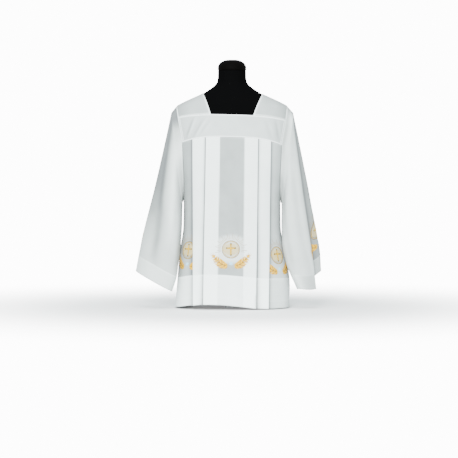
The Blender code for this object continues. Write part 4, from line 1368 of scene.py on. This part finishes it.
def skirt_lines(back, down):
    """The stretches of a skirt's row that show: the two side panels and the outer layers up to each fold."""
    rows = skirt_surface(back, [down, down + 0.002], SKIRT_COLUMNS)
    points, normals = rows[0], grid_normals(rows, False, BODY_AXIS)[0]
    layer, panel = SKIRT_COLUMNS[2:]
    x = np.abs(points[:, 0])
    stretches = []
    for side in (-1, 1):
        of_side = side_of(len(layer)) == side
        stretches.append(of_side & (panel > 0) & (x > abs(fold_end("hem", side, 1)) - 0.004))
        stretches.append(of_side & (panel == 0) & (np.abs(layer - 2) < 0.02) & (x > 0.088))
    stretches.append((panel == 0) & (layer > TOP_LAYER - 0.02))
    return [(points[shown], normals[shown]) for shown in stretches]


for name, back in (("front_skirt", False), ("back_skirt", True)):
    rows = [stitch_row(*line) for down in (HEM_LINE + 0.004, HEM_STITCH) for line in skirt_lines(back, down)]
    sewn[name] = sewn_piece(name + "_stitches", rows, [seam_thread])

for name, side in (("right_sleeve", -1), ("left_sleeve", 1)):
    points, turn = sleeve_surface(side)
    normals = grid_normals(points, True, points.mean(axis=1, keepdims=True))
    length = length_along(points)
    from_cuff = length[-1:] - length
    row = np.argmin(np.abs(from_cuff - (CUFF_DEPTH - 0.002)), axis=0)
    columns = np.arange(points.shape[1])
    ring, ring_normals = points[row, columns], normals[row, columns]
    smooth = np.roll(ring, 1, axis=0) * 0.25 + ring * 0.5 + np.roll(ring, -1, axis=0) * 0.25
    closed = [np.concatenate([values, values[:1]]) for values in (smooth, ring_normals)]
    sewn[name + "_cuff"] = sewn_piece(name + "_stitches", [stitch_row(*closed)], [seam_thread])
print("sewn pieces:", len(sewn))

# %% [markdown]
# ## Floor, light and camera
#
# A wide pale floor and an even white sky stand for a studio's light tent. One large soft light stands well
# in front of the garment, so what turns away grows darker, and a weaker one hangs above it. A faint one
# inside the skirts stands for the light that comes through the cloth to the floor. The camera is far off
# with a long lens, a little above the middle of the garment, so its lines stay straight.

# %% Stage and camera
FLOOR_SOLID = 0.45           # the floor fades from here to its edge
FLOOR_RADIUS = 1.90
TENT_LIGHT = 2.1
TENT_COLOUR = (0.90, 1.0, 1.01)
TENT_SEEN = 13.0
CAMERA_DISTANCE = 9.0
CAMERA_ELEVATION = 2.0
FRAME_WIDTH = 1.832          # metres across the picture at the form
AIM = (-0.0120, 0.0, 0.3140)


def stage_floor():
    """A pale disc that is solid round the garment and fades into the tent's white further out."""
    made, nodes, links, shader = nodes_for("pale_floor", 0.9)
    shader.inputs["Specular IOR Level"].default_value = 0.0
    place = nodes.new("ShaderNodeTexCoord").outputs["Object"]
    shade = spread(nodes, links, noise_on(nodes, links, place, 3, 2), 0.885, 0.915)
    colour = nodes.new("ShaderNodeCombineColor")
    for socket in colour.inputs[:3]:
        links.new(shade, socket)
    links.new(colour.outputs["Color"], shader.inputs["Base Color"])
    distance = nodes.new("ShaderNodeVectorMath")
    distance.operation = "LENGTH"
    links.new(place, distance.inputs[0])
    reach = (FLOOR_SOLID, FLOOR_RADIUS)
    fade = from_to(nodes, links, distance.outputs["Value"], reach, (1.0, 0.0), "SMOOTHSTEP")
    links.new(fade, shader.inputs["Alpha"])
    floor = new_mesh("floor", round_rings([FLOOR_RADIUS * 1.02], [0.0], 64), [list(range(64))], [made])


def light_tent():
    """An even white surround: it lights the cloth at one strength and is seen behind it at a higher one."""
    world = bpy.data.worlds.new("light_tent")
    bpy.context.scene.world = world
    world.use_nodes = True
    nodes, links = world.node_tree.nodes, world.node_tree.links
    seen = nodes.new("ShaderNodeLightPath").outputs["Is Camera Ray"]
    strength = from_to(nodes, links, seen, (0.0, 1.0), (TENT_LIGHT, TENT_SEEN))
    links.new(strength, nodes["Background"].inputs["Strength"])
    tint = nodes.new("ShaderNodeMix")
    tint.data_type = "RGBA"
    links.new(seen, tint.inputs["Factor"])
    tint.inputs[6].default_value = (*TENT_COLOUR, 1)
    tint.inputs[7].default_value = (1.0, 1.0, 1.0, 1)
    links.new(tint.outputs[2], nodes["Background"].inputs["Color"])


def soft_light(name, place, size, power, aim):
    light = bpy.data.lights.new(name, "AREA")
    light.shape = "DISK"
    light.size = size
    light.energy = power
    thing = bpy.data.objects.new(name, light)
    bpy.context.scene.collection.objects.link(thing)
    way = np.array(aim, float) - np.array(place, float)
    from_straight_down = math.acos(-way[2] / np.linalg.norm(way))
    thing.location = place
    thing.rotation_euler = (from_straight_down, 0, math.atan2(way[1], way[0]) - math.pi / 2)


stage_floor()
light_tent()
soft_light("top_light", (-0.3, -1.4, 2.6), 1.4, 60, (0, 0, 0.35))
soft_light("front_light", (-0.5, -5.0, 1.6), 1.2, 640, (0, 0, 0.5))
soft_light("through_the_cloth", (0, 0, 0.021), 0.34, 0.08, (0, 0.0001, 0))

tilt = math.radians(CAMERA_ELEVATION)
lens = bpy.data.cameras.new("camera")
lens.sensor_width = 36.0
lens.lens = lens.sensor_width * CAMERA_DISTANCE / FRAME_WIDTH
lens.clip_end = 200.0
camera = bpy.data.objects.new("camera", lens)
bpy.context.scene.collection.objects.link(camera)
away, above = CAMERA_DISTANCE * math.cos(tilt), CAMERA_DISTANCE * math.sin(tilt)
camera.location = (AIM[0], AIM[1] - away, AIM[2] + above)
camera.rotation_euler = (math.pi / 2 - tilt, 0, 0)
bpy.context.scene.camera = camera
print("camera at", tuple(round(value, 3) for value in camera.location), "lens", round(lens.lens, 1), "mm")
